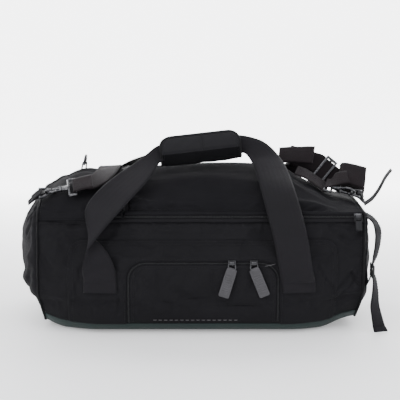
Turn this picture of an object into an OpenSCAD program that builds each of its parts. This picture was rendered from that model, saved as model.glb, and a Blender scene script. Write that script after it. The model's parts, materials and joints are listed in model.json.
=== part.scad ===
// Soft duffel gear bag: hollow sewn barrel with a zipped lid, a zipped front
// pocket, two webbing handles with a wrapped grip, and a clipped shoulder strap.
// Millimetres. X runs along the bag, -Y is the front, Z is up, the floor is z = 0.

/* [Body] */
// Height of the packed body at its crown
body_h = 238; // [232:1:246]
// Thickness of a body panel with its lining
skin = 3; // [2.4:0.2:3.4]
// How far the left end bulges past its seam
left_bulge = 39; // [30:1:42]
// How far the right end bulges past its seam
right_bulge = 20; // [14:1:24]

/* [Lid and zips] */
// Left edge of the lid along the bag
lid_x0 = -104; // [-106:1:-100]
// Right edge of the lid along the bag
lid_x1 = 130; // [126:1:132]
// Gap between the two halves of a zip
zip_gap = 1.4; // [1.2:0.1:1.6]

/* [Webbing] */
// Thickness of the handle webbing
web_t = 2.4; // [1.6:0.2:2.6]
// Thickness of the shoulder strap webbing
strap_t = 2; // [1.4:0.2:2.4]

/* [Hardware] */
// Rod diameter of the rings and snap hooks
rod_d = 4; // [3.2:0.2:4.4]
// Length of a pocket zip pull
pull_l = 44; // [36:1:46]

/* [Hidden] */

x_l = -232;          // left end seam
x_r = 250;           // right end seam
black = "#1a1a1c";
zc = [-113, 169];                 // centre of the main zip, y and z
zu = [8, 12] / norm([8, 12]);     // across the zip, towards the lid
zn = [-zu[1], zu[0]];             // out of the zip

// the section at mid-length, y and z, from the bottom round the front and the top
KEY = [[-60, 0], [-112, 0], [-134, 14], [-143, 55], [-141, 100], [-132, 138],
  [-117, 163], [-109, 175], [-90, 200.9], [-52, 225.9], [0, body_h], [52, 229.4],
  [88, 203.5], [109, 175], [117, 163], [132, 138], [141, 100], [143, 55],
  [134, 14], [112, 0], [60, 0]];
// height of the crown along the bag
CROWN = [[-250, 180], [-232, 197], [-215, 209], [-188, 222], [-172, 226], [-148, 226],
  [-100, 229], [-60, 233], [0, 237], [60, 238], [110, 235], [139, 228], [157, 218.5], [181, 208],
  [193, 200], [212, 190], [235, 182], [252, 177]];

function cat(L) = [for (a = L) for (b = a) b];
function unit(v) = v / norm(v);
function sm(a, b, x) = let (u = min(1, max(0, (x - a) / (b - a)))) u * u * (3 - 2 * u);
function cr(a, b, c, d, u) = 0.5 * (2 * b + (c - a) * u + (2 * a - 5 * b + 4 * c - d) * u * u
  + (3 * b - a - 3 * c + d) * u * u * u);
function seg(K, x, i = 0) = (i >= len(K) - 2 || x < K[i + 1][0]) ? i : seg(K, x, i + 1);
function slope(K, i) = let (a = max(0, i - 1), b = min(len(K) - 1, i + 1))
  (K[b][1] - K[a][1]) / (K[b][0] - K[a][0]);
function curve(K, x) = let (i = seg(K, x), h = K[i + 1][0] - K[i][0], u = (x - K[i][0]) / h,
  m0 = slope(K, i) * h, m1 = slope(K, i + 1) * h, p0 = K[i][1], p1 = K[i + 1][1])
  p0 + m0 * u + (3 * (p1 - p0) - 2 * m0 - m1) * u * u + (2 * (p0 - p1) + m0 + m1) * u * u * u;
nk = len(KEY);
function sec(t) = let (i = floor(t), u = t - i)
  cr(KEY[(i - 1 + nk) % nk], KEY[i % nk], KEY[(i + 1) % nk], KEY[(i + 2) % nk], u);

// a point of the outer surface at station x and section parameter t
function S(x, t) = let (p = sec(t),
  k = (curve(CROWN, x) + (body_h - 238) - 175) / (body_h - 175),
  g = 1 - 0.95 * sm(125, 260, abs(x)),
  ya = abs(p[0]),
  y1 = (p[0] < 0 ? -1 : 1) * (ya > 117 ? 117 + (ya - 117) * g : ya),
  b = 1 - 0.34 * sm(140, 262, abs(x)),
  y2 = p[1] < 55 ? y1 * (1 - (1 - b) * (1 - p[1] / 55)) : y1,
  z1 = p[1] > 175 ? 175 + (p[1] - 175) * k : p[1],
  z2 = p[1] < 90 ? z1 + 11 * sm(190, 262, abs(x)) * (1 - p[1] / 90) : z1)
  [x, y2, z2];
function N(x, t) = unit(cross(S(x + 1, t) - S(x - 1, t), S(x, t + 0.04) - S(x, t - 0.04 + (t < 0.05 ? nk : 0))));
function O(x, t, o) = S(x, t) + N(x, t) * o;

// closed solid between two grids of points
function tri(a, b, c, d) = [[a, b, c], [a, c, d]];
function vol(P, F, i = 0, s = 0) = i >= len(F) ? s
  : vol(P, F, i + 1, s + P[F[i][0]] * cross(P[F[i][1]], P[F[i][2]]));
module grid_solid(A, B) {
  m = len(A); n = len(A[0]); k = m * n;
  P = concat(cat(A), cat(B));
  F = concat(
    cat([for (i = [0:m - 2]) for (j = [0:n - 2]) tri(i * n + j, i * n + j + 1, (i + 1) * n + j + 1, (i + 1) * n + j)]),
    cat([for (i = [0:m - 2]) for (j = [0:n - 2]) tri(k + i * n + j, k + (i + 1) * n + j, k + (i + 1) * n + j + 1, k + i * n + j + 1)]),
    cat([for (i = [0:m - 2]) tri(i * n, (i + 1) * n, k + (i + 1) * n, k + i * n)]),
    cat([for (i = [0:m - 2]) tri(i * n + n - 1, k + i * n + n - 1, k + (i + 1) * n + n - 1, (i + 1) * n + n - 1)]),
    cat([for (j = [0:n - 2]) tri(j, k + j, k + j + 1, j + 1)]),
    cat([for (j = [0:n - 2]) tri((m - 1) * n + j, (m - 1) * n + j + 1, k + (m - 1) * n + j + 1, k + (m - 1) * n + j)]));
  G = vol(P, F) > 0 ? [for (f = F) [f[2], f[1], f[0]]] : F;
  polyhedron(P, G);
}
// rows are [x, t0, t1]; the panel lies between offsets a and b from the surface
module panel(rows, nt, a, b, swell = 0) {
  nx = len(rows) - 1;
  function o(i, j, base) = base + swell * sin(180 * i / nx) * sin(180 * j / nt);
  grid_solid([for (i = [0:nx]) [for (j = [0:nt]) O(rows[i][0], rows[i][1] + (rows[i][2] - rows[i][1]) * j / nt, o(i, j, b))]],
    [for (i = [0:nx]) [for (j = [0:nt]) O(rows[i][0], rows[i][1] + (rows[i][2] - rows[i][1]) * j / nt, o(i, j, a))]]);
}
function flat_rows(x0, x1, t0, t1, nx) = [for (i = [0:nx]) [x0 + (x1 - x0) * i / nx, t0, t1]];
// a pocket outline with rounded top corners of radius r
function arch_rows(x0, x1, t0, z_t, r, nx = 26) = [for (i = [0:nx])
  let (c = cos(180 * i / nx), x = (x0 + x1) / 2 - (x1 - x0) / 2 * c, d = min(x - x0, x1 - x),
    drop = d < r ? r - sqrt(max(0, r * r - (r - d) * (r - d))) : 0) [x, t0, z_t - drop / 45]];

// webbing: stations are [one edge, other edge], smoothed and given thickness th
function sta(E, v) = let (n = len(E) - 1, i = min(n - 1, floor(v)), u = v - i)
  [for (s = [0, 1]) cr(E[max(0, i - 1)][s], E[i][s], E[i + 1][s], E[min(n, i + 2)][s], u)];
module ribbon(E, th, per = 4, across = 1) {
  n = (len(E) - 1) * per;
  function q(i) = sta(E, i / per);
  function nn(i) = let (a = q(max(0, i - 1)), b = q(min(n, i + 1)), c = q(i))
    unit(cross((b[0] + b[1]) - (a[0] + a[1]), c[1] - c[0]));
  grid_solid([for (i = [0:n]) [for (s = [0:across]) q(i)[0] * (1 - s / across) + q(i)[1] * s / across + nn(i) * th / 2]],
    [for (i = [0:n]) [for (s = [0:across]) q(i)[0] * (1 - s / across) + q(i)[1] * s / across - nn(i) * th / 2]]);
}

// ---- body panels ----
module base_panel() { color("#10201c") panel(flat_rows(x_l, x_r, 18.03, 22.97, 22), 12, -skin, 0); }
module base_board() { color("#303030") translate([-185, -88, skin + 0.6]) cube([370, 176, 3]); }
module front_panel() { color(black) difference() {
  panel(flat_rows(x_l, x_r, 2.01, 6, 22), 12, -skin, 0);
  panel(flat_rows(-97, 122, 2.2, 4.163, 2), 4, -skin - 3, 4);
} }
module front_overlay() { color(black) difference() {
  panel([for (i = [0:24]) let (x = -186 + 396 * i / 24, e = min(x + 186, 210 - x))
    [x, 2.04, 5.06 - (e < 24 ? (24 - sqrt(max(0, 24 * 24 - (24 - e) * (24 - e)))) / 42 : 0)]], 10, 0.9, 2.2);
  panel(arch_rows(-102.6, 127.6, 2.1, 4.275, 30), 6, -4, 6);
} }
module back_panel() { color(black) panel(flat_rows(x_l, x_r, 13.08, 17.97, 22), 14, -skin, 0); }
module top_left_panel() { color(black) union() {
  panel(flat_rows(x_l, -131, 6.03, 12.94, 6), 18, -skin, 0);
  panel(flat_rows(-131.5, lid_x0 - 6.6, 7, 12.94, 2), 16, -skin, 0);
} }
module top_right_panel() { color(black) panel(flat_rows(lid_x1 + 6.6, x_r, 7, 12.94, 9), 16, -skin, 0); }
module lid_panel() { color(black) panel(flat_rows(lid_x0 + 5.6, lid_x1 - 5.6, 7, 12.95, 14), 20, -skin, 0); }

// a domed end: rings of the end section shrink towards a centre as x runs out
module dome(x0, out, dz, d0) {
  nt = 42; R = [1, 0.965, 0.88, 0.74, 0.55, 0.3];
  s = out > 0 ? 1 : -1; b = abs(out);
  function pt(r, t, th) = let (p = S(x0, t), c = [0, 112],
    sag = 1 - 0.75 * sm(70, 20, p[2]),
    w = r - th / 120)
    [x0 + s * (d0 + (b - th) * pow(1 - r * r, 0.72) * (1 - (1 - sag) * sm(0.2, 1, r))), c[0] + (p[1] - c[0]) * w, c[1] + (p[2] - c[1]) * w + dz * (1 - r)];
  A = [for (r = R) [for (j = [0:nt - 1]) pt(r, j * nk / nt, 0)]];
  B = [for (r = R) [for (j = [0:nt - 1]) pt(r, j * nk / nt, skin)]];
  m = len(R); k = m * nt;
  pa = [x0 + s * (d0 + b), 0, 112 + dz];
  pb = [x0 + s * (d0 + b - skin), 0, 112 + dz];
  P = concat(cat(A), cat(B), [pa, pb]);
  function w(j) = (j + 1) % nt;
  F = concat(
    cat([for (i = [0:m - 2]) for (j = [0:nt - 1]) tri(i * nt + j, i * nt + w(j), (i + 1) * nt + w(j), (i + 1) * nt + j)]),
    cat([for (i = [0:m - 2]) for (j = [0:nt - 1]) tri(k + i * nt + j, k + (i + 1) * nt + j, k + (i + 1) * nt + w(j), k + i * nt + w(j))]),
    cat([for (j = [0:nt - 1]) tri(j, k + j, k + w(j), w(j))]),
    [for (j = [0:nt - 1]) [(m - 1) * nt + j, (m - 1) * nt + w(j), 2 * k]],
    [for (j = [0:nt - 1]) [k + (m - 1) * nt + w(j), k + (m - 1) * nt + j, 2 * k + 1]]);
  G = vol(P, F) > 0 ? [for (f = F) [f[2], f[1], f[0]]] : F;
  polyhedron(P, G);
}
module left_end_cap() { color(black) dome(x_l, -left_bulge, 8, 0.5); }
module right_end_cap() { color(black) dome(x_r, right_bulge, -2, 0.5); }
// piping cord sewn round an end seam, on the outside of the skin
module cord_ring(x0, r) {
  nt = 42; ns = 6;
  function c(j) = O(x0, (j % nt) * nk / nt, r + 1.2);
  function fr(j) = N(x0, (j % nt) * nk / nt);
  P = [for (j = [0:nt - 1]) for (i = [0:ns - 1]) c(j) + fr(j) * r * cos(360 * i / ns) + [1, 0, 0] * r * sin(360 * i / ns)];
  F = cat([for (j = [0:nt - 1]) for (i = [0:ns - 1]) let (a = j * ns, b = ((j + 1) % nt) * ns, i2 = (i + 1) % ns)
    tri(a + i, a + i2, b + i2, b + i)]);
  G = vol(P, F) > 0 ? [for (f = F) [f[2], f[1], f[0]]] : F;
  polyhedron(P, G);
}
module left_piping() { color(black) intersection() { cord_ring(x_l + 1.6, 1.5); translate([-300, -200, 0.4]) cube([600, 400, 300]); } }
module right_piping() { color(black) intersection() { cord_ring(x_r - 1.6, 1.5); translate([-300, -200, 0.4]) cube([600, 400, 300]); } }

// ---- main zip ----
// places children with X along the zip, Y across it towards the lid, Z out of it
module on_zip(x) { translate([x, zc[0], zc[1]]) rotate([atan2(zu[1], zu[0]), 0, 0]) children(); }
module zip_bar(x0, x1, side) { on_zip(0) translate([x0, side > 0 ? zip_gap / 2 : -6.4, -1.2]) cube([x1 - x0, 6.4 - zip_gap / 2, 2.4]); }
module main_zip_body() { color("#242428") {
  zip_bar(-130, 246.2, -1);
  zip_bar(-130, lid_x0 - 0.7, 1);
  zip_bar(lid_x1 + 0.7, 246.2, 1);
  panel(flat_rows(lid_x0 - 6.1, lid_x0 - 0.7, 7.05, 12.8, 1), 14, -1, 1.2);
  panel(flat_rows(lid_x1 + 0.7, lid_x1 + 6.1, 7.05, 12.8, 1), 14, -1, 1.2);
} }
module main_zip_lid() { color("#242428") {
  zip_bar(lid_x0, lid_x1, 1);
  panel(flat_rows(lid_x0, lid_x0 + 5.2, 7.05, 12.8, 1), 14, -1, 1.2);
  panel(flat_rows(lid_x1 - 5.2, lid_x1, 7.05, 12.8, 1), 14, -1, 1.2);
} }
// a slider: two plates, the post between the zip halves, and a bail for the pull
module slider_body(inner0, inner1) {
  translate([-5.5, -4.6, 1.7]) cube([11, 9.2, 1.2]);
  translate([-5.5, inner0, -2.9]) cube([11, inner1 - inner0, 1.2]);
  translate([1.5, -0.4, -2.4]) cube([3.6, 0.8, 5]);
  translate([-3.5, 0, 2.6]) rotate([90, 0, 90]) difference() {
    cylinder(r = 3.7, h = 7, $fn = 32);
    translate([0, 1.8, -1]) cylinder(r = 1.3, h = 9, $fn = 32);
    translate([-5, -10, -1]) cube([10, 10, 9]);
  }
}
main_x = 239;
module main_slider() { color("#3a3a3e") on_zip(main_x) slider_body(-4.6, 4.6); }
// hanging pull: a pin through the bail, two side cheeks, and a flat tag
module pull_shape(w, l) {
  rotate([0, 90, 0]) cylinder(r = 1, h = 12, center = true, $fn = 24);
  for (s = [-1, 1]) translate([s * 5.1 - 0.9, -1.1, -10]) cube([1.8, 2.2, 10]);
  translate([-w / 2, -1.3, -10 - l]) cube([w, 2.6, l + 1]);
}
mp = [zc[0] + zn[0] * 4.4, zc[1] + zn[1] * 4.4];
module main_pull() { color("#2a2a2c") translate([main_x, mp[0], mp[1]]) rotate([-37, 0, 0]) pull_shape(9, 14); }

// ---- front pocket ----
pz = 4.12;
module pocket_lining() { color("#2b2b2e") difference() {
  panel(flat_rows(-99.5, 124.5, 2.14, 4.21, 6), 8, -22, -skin - 0.9);
  panel(flat_rows(-97, 122, 2.2, 4.155, 6), 8, -19.6, 4);
} }
module pocket_zip_frame() { color("#242428") difference() {
  panel(arch_rows(-102, 127, 2.12, 4.26, 29, 30), 8, 0.3, 1.8);
  panel(arch_rows(-96 - zip_gap, 121 + zip_gap, 2.0, pz + zip_gap / 45, 25 + zip_gap, 30), 8, -5, 6);
} }
module pocket_zip_flap() { color("#242428") difference() {
  panel(arch_rows(-96, 121, 2.14, pz, 25, 30), 8, 0.3, 1.8);
  panel(arch_rows(-91, 116, 2.0, pz - 5 / 45, 21, 30), 8, -5, 6);
} }
module pocket_flap() { color(black) panel(arch_rows(-90.6, 115.6, 2.14, pz - 5.4 / 45, 21, 26), 12, 0.3, 2.9, 2); }
// places children on the pocket zip: X along it, Y up the flap edge, Z out
p_edge = O(54, pz + zip_gap / 90, 1.05);
module on_pocket(x) { translate([x, p_edge[1], p_edge[2]]) rotate([92, 0, 0]) children(); }
module pocket_slider(x) { on_pocket(x) difference() { slider_body(-4.6, -0.4); } }
module pocket_slider_left() { color("#55555a") pocket_slider(54); }
module pocket_slider_right() { color("#55555a") pocket_slider(86); }
pp = [p_edge[1] - 4.4, p_edge[2] - 0.15];
module pocket_pull(x, lean) { translate([x, pp[0], pp[1]]) {
  rotate([0, 90, 0]) cylinder(r = 1, h = 12, center = true, $fn = 24);
  for (s = [-1, 1]) translate([s * 5.1 - 0.9, -1.6, -7.5]) cube([1.8, 2.4, 7.5]);
  translate([-6, -3.6, -9]) cube([12, 3.4, 3]);
  translate([0, -4.6, -7.5]) rotate([0, lean, 0]) translate([-8, -1.6, -pull_l + 1]) cube([16, 3.2, pull_l]);
} }
module pocket_pull_left() { color("#7a7a7e") pocket_pull(54, 17); }
module pocket_pull_right() { color("#7a7a7e") pocket_pull(86, -22); }

// ---- handles ----
// front: each leg is sewn to the front at its foot and swings above that seam
module front_leg_patches() { color(black) {
  panel(flat_rows(-161, -113, 3.19, 3.52, 2), 2, 2.6, 2.6 + web_t);
  panel(flat_rows(128.4, 175, 3.19, 3.52, 2), 2, 2.6, 2.6 + web_t);
} }
FL = [[[-161, -146.9, 83], [-113, -146.9, 83]],
  [[-162, -151.5, 92], [-116, -147.8, 102]],
  [[-158, -162, 104], [-123, -148, 124]],
  [[-150, -168, 117], [-135, -141, 143]],
  [[-141, -166, 132], [-147, -132, 160]],
  [[-126, -152, 156], [-155, -120, 180]],
  [[-110, -137, 175], [-150, -104, 197]],
  [[-93, -119, 196], [-134, -92, 214]],
  [[-76, -102, 213], [-112, -76, 230]],
  [[-65, -86, 226], [-92, -62, 242]],
  [[-57, -70, 237], [-74, -48, 254]],
  [[-52, -56, 243], [-58, -42, 266]],
  [[-40, -48, 247], [-41, -38, 270]]];
FR = [[[125, -146.9, 83], [174, -146.4, 83]],
  [[121, -147.4, 104], [170, -146.6, 104]],
  [[114, -143.5, 141], [164, -142, 142]],
  [[106, -124, 173], [157, -123, 174]],
  [[97, -97, 208], [148, -96, 207]],
  [[89, -62, 237], [139, -58, 233]],
  [[83, -44, 247], [127, -34, 252]],
  [[76, -32, 254], [104, -24, 272]],
  [[66, -30, 256], [72, -22, 281]],
  [[48, -33, 254], [50, -25, 280]]];
module front_handle_left_web() { color(black) ribbon(FL, web_t, 3, 2); }
module front_handle_right_web() { color(black) ribbon(FR, web_t, 3, 2); }
// padded wrap closed round both webs of the front handle
module grip_wrap() { color("#26262a") difference() {
  translate([8, -36.5, 266]) rotate([0, -6, 5]) translate([-60, 0, 0]) rotate([0, 90, 0])
    linear_extrude(120) translate([0, 0]) offset(r = 7, $fn = 32) square([28, 8], center = true);
  translate([8, -36.5, 263]) rotate([0, -6, 5]) cube([130, 8.5, 30], center = true);
} }
module rear_leg_patches() { color(black) {
  panel(flat_rows(-162, -113, 16.61, 16.94, 2), 2, 0.7, 0.7 + web_t);
  panel(flat_rows(122, 171, 16.61, 16.94, 2), 2, 0.7, 0.7 + web_t);
} }
RH = [[[-162, 144.8, 77.2], [-113, 144.8, 77.2]],
  [O(-162, 16.1, 5), O(-113, 16.1, 5)],
  [O(-160, 15.5, 7.5), O(-111, 15.5, 7.5)],
  [O(-157, 14.6, 7.5), O(-108, 14.6, 7.5)],
  [O(-150, 13.3, 7.5), O(-102, 13.3, 7.5)],
  [O(-139, 12.1, 7.5), O(-94, 12, 7.5)],
  [O(-122, 11.3, 8), O(-82, 11.5, 7.5)],
  [[-92, 32, 239], [-66, 58, 239]],
  [[-58, 16, 247], [-46, 36, 257]],
  [[-20, 12, 249], [-18, 18, 269]],
  [[10, 10, 249], [10, 16, 269]],
  [[40, 12, 249], [38, 18, 269]],
  [[76, 20, 249], [64, 38, 259]],
  [[110, 38, 243], [84, 62, 241]],
  [O(136, 11.4, 8), O(96, 11.7, 7.5)],
  [O(149, 12.1, 7.5), O(104, 12.2, 7.5)],
  [O(159, 13.3, 7.5), O(111, 13.4, 7.5)],
  [O(166, 14.6, 7.5), O(117, 14.6, 7.5)],
  [O(169, 15.5, 7.5), O(120, 15.5, 7.5)],
  [O(171, 16.1, 5), O(122, 16.1, 5)],
  [[171, 143.4, 77.2], [122, 144.8, 77.2]]];
module rear_handle_web() { color(black) ribbon(RH, web_t, 3, 2); }

// ---- rings and snap hooks ----
// D ring: straight bar along Y at the origin, bow reaching along +X
module d_ring(w, l) {
  rotate([90, 0, 0]) cylinder(r = rod_d / 2, h = w + rod_d, center = true, $fn = 32);
  for (s = [-1, 1]) translate([0, s * w / 2, 0]) rotate([0, 90, 0]) cylinder(r = rod_d / 2, h = l, $fn = 32);
  translate([l, 0, 0]) rotate([0, 0, -90]) rotate_extrude(angle = 180, $fn = 64) translate([w / 2, 0]) circle(r = rod_d / 2, $fn = 32);
}
// webbing loop that holds a ring's bar: a bar sleeve and a sewn tail along -X
module ring_tab(w, l) {
  difference() {
    union() {
      rotate([90, 0, 0]) cylinder(r = rod_d / 2 + 2, h = w, center = true, $fn = 40);
      translate([-l, -w / 2, -rod_d / 2 - 2]) cube([l, w, 3.4]);
    }
    rotate([90, 0, 0]) cylinder(r = rod_d / 2 + 0.35, h = w + 2, center = true, $fn = 40);
  }
}
// snap hook in the XY plane: bow at -X, shank and collar towards +X, gate on the -Y side
module hook_body() {
  rotate([0, 0, 40]) rotate_extrude(angle = 230, $fn = 64) translate([9, 0]) circle(r = rod_d / 2, $fn = 32);
  rotate([0, 0, 40]) translate([9, 0, 0]) sphere(r = rod_d / 2, $fn = 32);
  translate([6.9, 5.8, 0]) rotate([0, 90, -26]) cylinder(r = rod_d / 2, h = 9, $fn = 32);
  translate([14, 2, 0]) sphere(r = rod_d / 2 + 0.6, $fn = 32);
  translate([13, 0, 0]) rotate([0, 90, 0]) cylinder(r = 4, h = 6, $fn = 40);
  translate([19, 0, 0]) rotate([0, 90, 0]) cylinder(r = 1.8, h = 4.6, $fn = 32);
  // lugs for the gate's pivot, one each side of it
  for (z = [2.1, -3.3]) translate([0, 0, z]) {
    translate([gate_p[0], gate_p[1], 0]) cylinder(r = 2.3, h = 1.2, $fn = 32);
    translate([gate_p[0] - 0.4, gate_p[1], 0]) cube([2.7, 5.6, 1.2]);
  }
}
gate_p = [13.5, -6.6];
module hook_gate() {
  translate([gate_p[0], gate_p[1], 0]) cylinder(r = 1.8, h = 3.8, center = true, $fn = 32);
  translate([gate_p[0], gate_p[1], 0]) rotate([0, -90, 10]) cylinder(r = 1.5, h = 11.1, $fn = 32);
}
// swivel eye: a rectangular webbing loop with a boss that turns on the shank
module hook_eye(w) {
  difference() {
    translate([19.4, 0, 0]) rotate([0, 90, 0]) cylinder(r = 4, h = 4.8, $fn = 40);
    translate([18, 0, 0]) rotate([0, 90, 0]) cylinder(r = 2.1, h = 9, $fn = 40);
  }
  translate([25.8, 0, 0]) rotate([90, 0, 0]) cylinder(r = 1.7, h = w + 4, center = true, $fn = 32);
  translate([36, 0, 0]) rotate([90, 0, 0]) cylinder(r = 1.7, h = w + 4, center = true, $fn = 32);
  for (s = [-1, 1]) translate([25.8, s * (w / 2 + 1), 0]) rotate([0, 90, 0]) cylinder(r = 1.7, h = 10.2, $fn = 32);
}
// places children at c with X along d and Y as near to w as square allows
module frame_at(c, d, w) {
  x = unit(d); y = unit(w - x * (w * x)); z = cross(x, y);
  translate(c) rotate([atan2(y[2], z[2]), -asin(x[2]), atan2(x[1], x[0])]) children();
}
eye_w = 35;

// left side hardware lies on the front shoulder, the hook's bow through the ring
module at_left() { frame_at([-230, -84, 200], [60, 5, 11], [0, 80, 48]) children(); }
module left_ring_tab() { color(black) at_left() rotate([0, 12, 0]) ring_tab(15, 12); }
module left_ring() { color("#5c5c60") at_left() d_ring(20, 3); }
module at_left_hook() { at_left() translate([17.6, 0, 0]) rotate([-52, 0, 0]) children(); }
module left_hook() { color("#6a6a6e") at_left_hook() hook_body(); }
module left_hook_gate() { color("#8a8a8e") at_left_hook() hook_gate(); }
module left_hook_eye() { color("#6a6a6e") at_left() translate([17.6, 0, 0]) hook_eye(eye_w); }

// free ring standing on the left of the crown
rt = [-174, 28, 231.5];
module at_rear() { translate(rt) rotate([0, -80, 0]) children(); }
module rear_ring_tab() { color(black) at_rear() ring_tab(11, 6); }
module rear_ring() { color("#5c5c60") at_rear() d_ring(16, 5); }

// right side hardware stands on the right shoulder
module at_right() { frame_at([253, -28, 190.5], [-50, 10, 13], [8, -50, -20]) children(); }
module right_ring_tab() { color(black) at_right() rotate([0, -30, 0]) ring_tab(15, 8); }
module right_ring() { color("#5c5c60") at_right() d_ring(20, 3); }
module at_right_hook() { at_right() translate([17.6, 0, 0]) rotate([52, 0, 0]) children(); }
module right_hook() { color("#6a6a6e") at_right_hook() hook_body(); }
module right_hook_gate() { color("#8a8a8e") at_right_hook() hook_gate(); }
module right_hook_eye() { color("#6a6a6e") at_right() translate([17.6, 0, 0]) hook_eye(eye_w); }

// ---- shoulder strap ----
// it runs from the left hook up the front shoulder, back over the top beside the
// lid, along the back under the rear handle, and up again to the right hook
so = 2.6;
SL = [[[-172.5, -93, 207], [-170, -63, 223]],
  [O(-152, 8.25, 6), O(-157, 9.1, 6)],
  [O(-132, 8.65, 4.6), O(-152, 9.4, 4.6)],
  [O(-119, 9.3, 3.6), O(-150, 9.8, 3.6)],
  [O(-114.5, 10.1, 3), O(-150, 10.3, 3)],
  [O(-114, 11.1, so), O(-150, 11.1, so)],
  [O(-114.5, 12.2, so), O(-150, 12.1, so)],
  [O(-115, 13.2, so), O(-150, 13.1, so)],
  [O(-113, 14.1, so), O(-147, 14.3, so)],
  [O(-104, 14.75, so), O(-130, 15.35, so)],
  [O(-80, 15.05, so), O(-92, 15.9, so)],
  [O(-40, 15.12, so), O(-44, 16.02, so)],
  [O(6, 15.12, so), O(6, 16.02, so)]];
// the ring-shaped slide adjuster and the straight run of strap through it
gc = [203, 21, 222.5];
gd = unit([0.76, -0.1, -0.63]);
gw = let (w = [23.4, 10, 26.5]) unit(w - gd * (w * gd));
SR = [[O(8.4, 15.12, so), O(8.4, 16.02, so)],
  [O(60, 15.12, so), O(64, 16.02, so)],
  [O(104, 15.02, so), O(116, 15.85, so)],
  [O(128, 14.75, so), O(152, 15.3, so)],
  [O(137, 14.1, so), O(171, 14.3, so)],
  [O(139.5, 13.1, so), O(175, 13.1, so)],
  [O(140, 12.1, so), O(175, 12.1, so)],
  [O(139, 11.5, so), O(171, 11.6, 7)],
  [O(139, 11.1, 6), O(157, 11.2, 23)],
  [[147, 18, 231], [151, 31, 259]],
  [[163, 19, 224], [173, 31, 252]],
  [gc - 18 * gd - 17 * gw, gc - 18 * gd + 17 * gw],
  [gc - 6 * gd - 17 * gw, gc - 6 * gd + 17 * gw],
  [gc + 6 * gd - 17 * gw, gc + 6 * gd + 17 * gw],
  [gc + 20 * gd - 16.5 * gw, gc + 20 * gd + 16.5 * gw]];
module strap_web_left() { color(black) ribbon(SL, strap_t, 3, 1); }
module strap_web_right() { color(black) ribbon(SR, strap_t, 3, 1); }
// the spare length, folded back and forth beyond the adjuster
sbv = [3, 12.5, 12.5];
SBC = [[223, 23, 202], [240, 18, 198], [256, 14, 196], [264, 9, 200], [258, 6, 205], [242, 8, 208], [227, 8, 212],
  [225, 6, 218.5], [230, 1, 220.5], [244, -2, 218], [260, -2, 214]];
SB = [for (c = SBC) [c - sbv, c + sbv]];
module strap_return() { color(black) ribbon([[[140, 6, 238], [144, 24, 258]], [[161, 4, 237], [166, 21, 256.5]], [[182, 1, 235], [187, 17, 254]]], strap_t, 3, 1); }
module strap_glide() { color("#5c5c60") frame_at(gc, gd, gw) {
  for (s = [-1, 1]) translate([-10, s * 20 - 1.6, -3.7]) cube([20, 3.2, 7.4]);
  for (s = [-1, 1]) translate([s * 8.3 - 1.7, -20, 1.5]) cube([3.4, 40, 2.2]);
  translate([-2, -20, -3.7]) cube([4, 40, 2.2]);
} }
module strap_bundle() { color(black) ribbon(SB, strap_t, 3, 1); }

// ---- side strap on the right end ----
module side_strap() { color(black) ribbon([[[253.5, -114, 179], [257, -92, 182]], [[262, -117, 172], [264, -95, 174]],
  [[269, -119, 151], [271, -97, 153]], [[270, -120, 129], [273, -98, 131]], [[264, -120, 110], [269, -98, 111]],
  [[260, -120, 99.6], [266, -98, 99.6]]], 1.8, 3, 1); }
module at_lock() { frame_at([262.5, -108.6, 88], [0, 0, 1], [6, 22, 0]) children(); }
module ladder_lock() { color("#1c1c1e") at_lock() difference() {
  cube([20, 32, 3], center = true);
  for (s = [-1, 1]) translate([s * 4.6, 0, 0]) cube([5, 25.6, 6], center = true);
} }
module ladder_lock_tab() { color(black) at_lock() translate([-19.6, -11.5, 0.2]) cube([9, 23, 3]); }
module side_strap_tail() { color(black) ribbon([[[262, -125, 76], [270, -104, 76]], [[259.5, -129, 58], [272, -110, 57]],
  [[257, -132, 40], [273, -116, 39]], [[259, -134, 23], [277, -121, 22]], [[261, -135, 9], [281, -126, 8]], [[263, -136, 2.6], [284, -129, 2.6]]], 1.8, 3, 1); }

base_panel();
base_board();
front_panel();
front_overlay();
back_panel();
left_end_cap();
right_end_cap();
left_piping();
right_piping();
top_left_panel();
top_right_panel();
lid_panel();
main_zip_body();
main_zip_lid();
main_slider();
main_pull();
pocket_lining();
pocket_zip_frame();
pocket_flap();
pocket_zip_flap();
pocket_slider_left();
pocket_slider_right();
pocket_pull_left();
pocket_pull_right();
front_leg_patches();
front_handle_left_web();
front_handle_right_web();
grip_wrap();
rear_leg_patches();
rear_handle_web();
left_ring_tab();
left_ring();
left_hook();
left_hook_gate();
left_hook_eye();
rear_ring_tab();
rear_ring();
right_ring_tab();
right_ring();
right_hook();
right_hook_gate();
right_hook_eye();
strap_web_left();
strap_web_right();
strap_return();
strap_glide();
strap_bundle();
side_strap();
side_strap_tail();
ladder_lock();
ladder_lock_tab();
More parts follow.
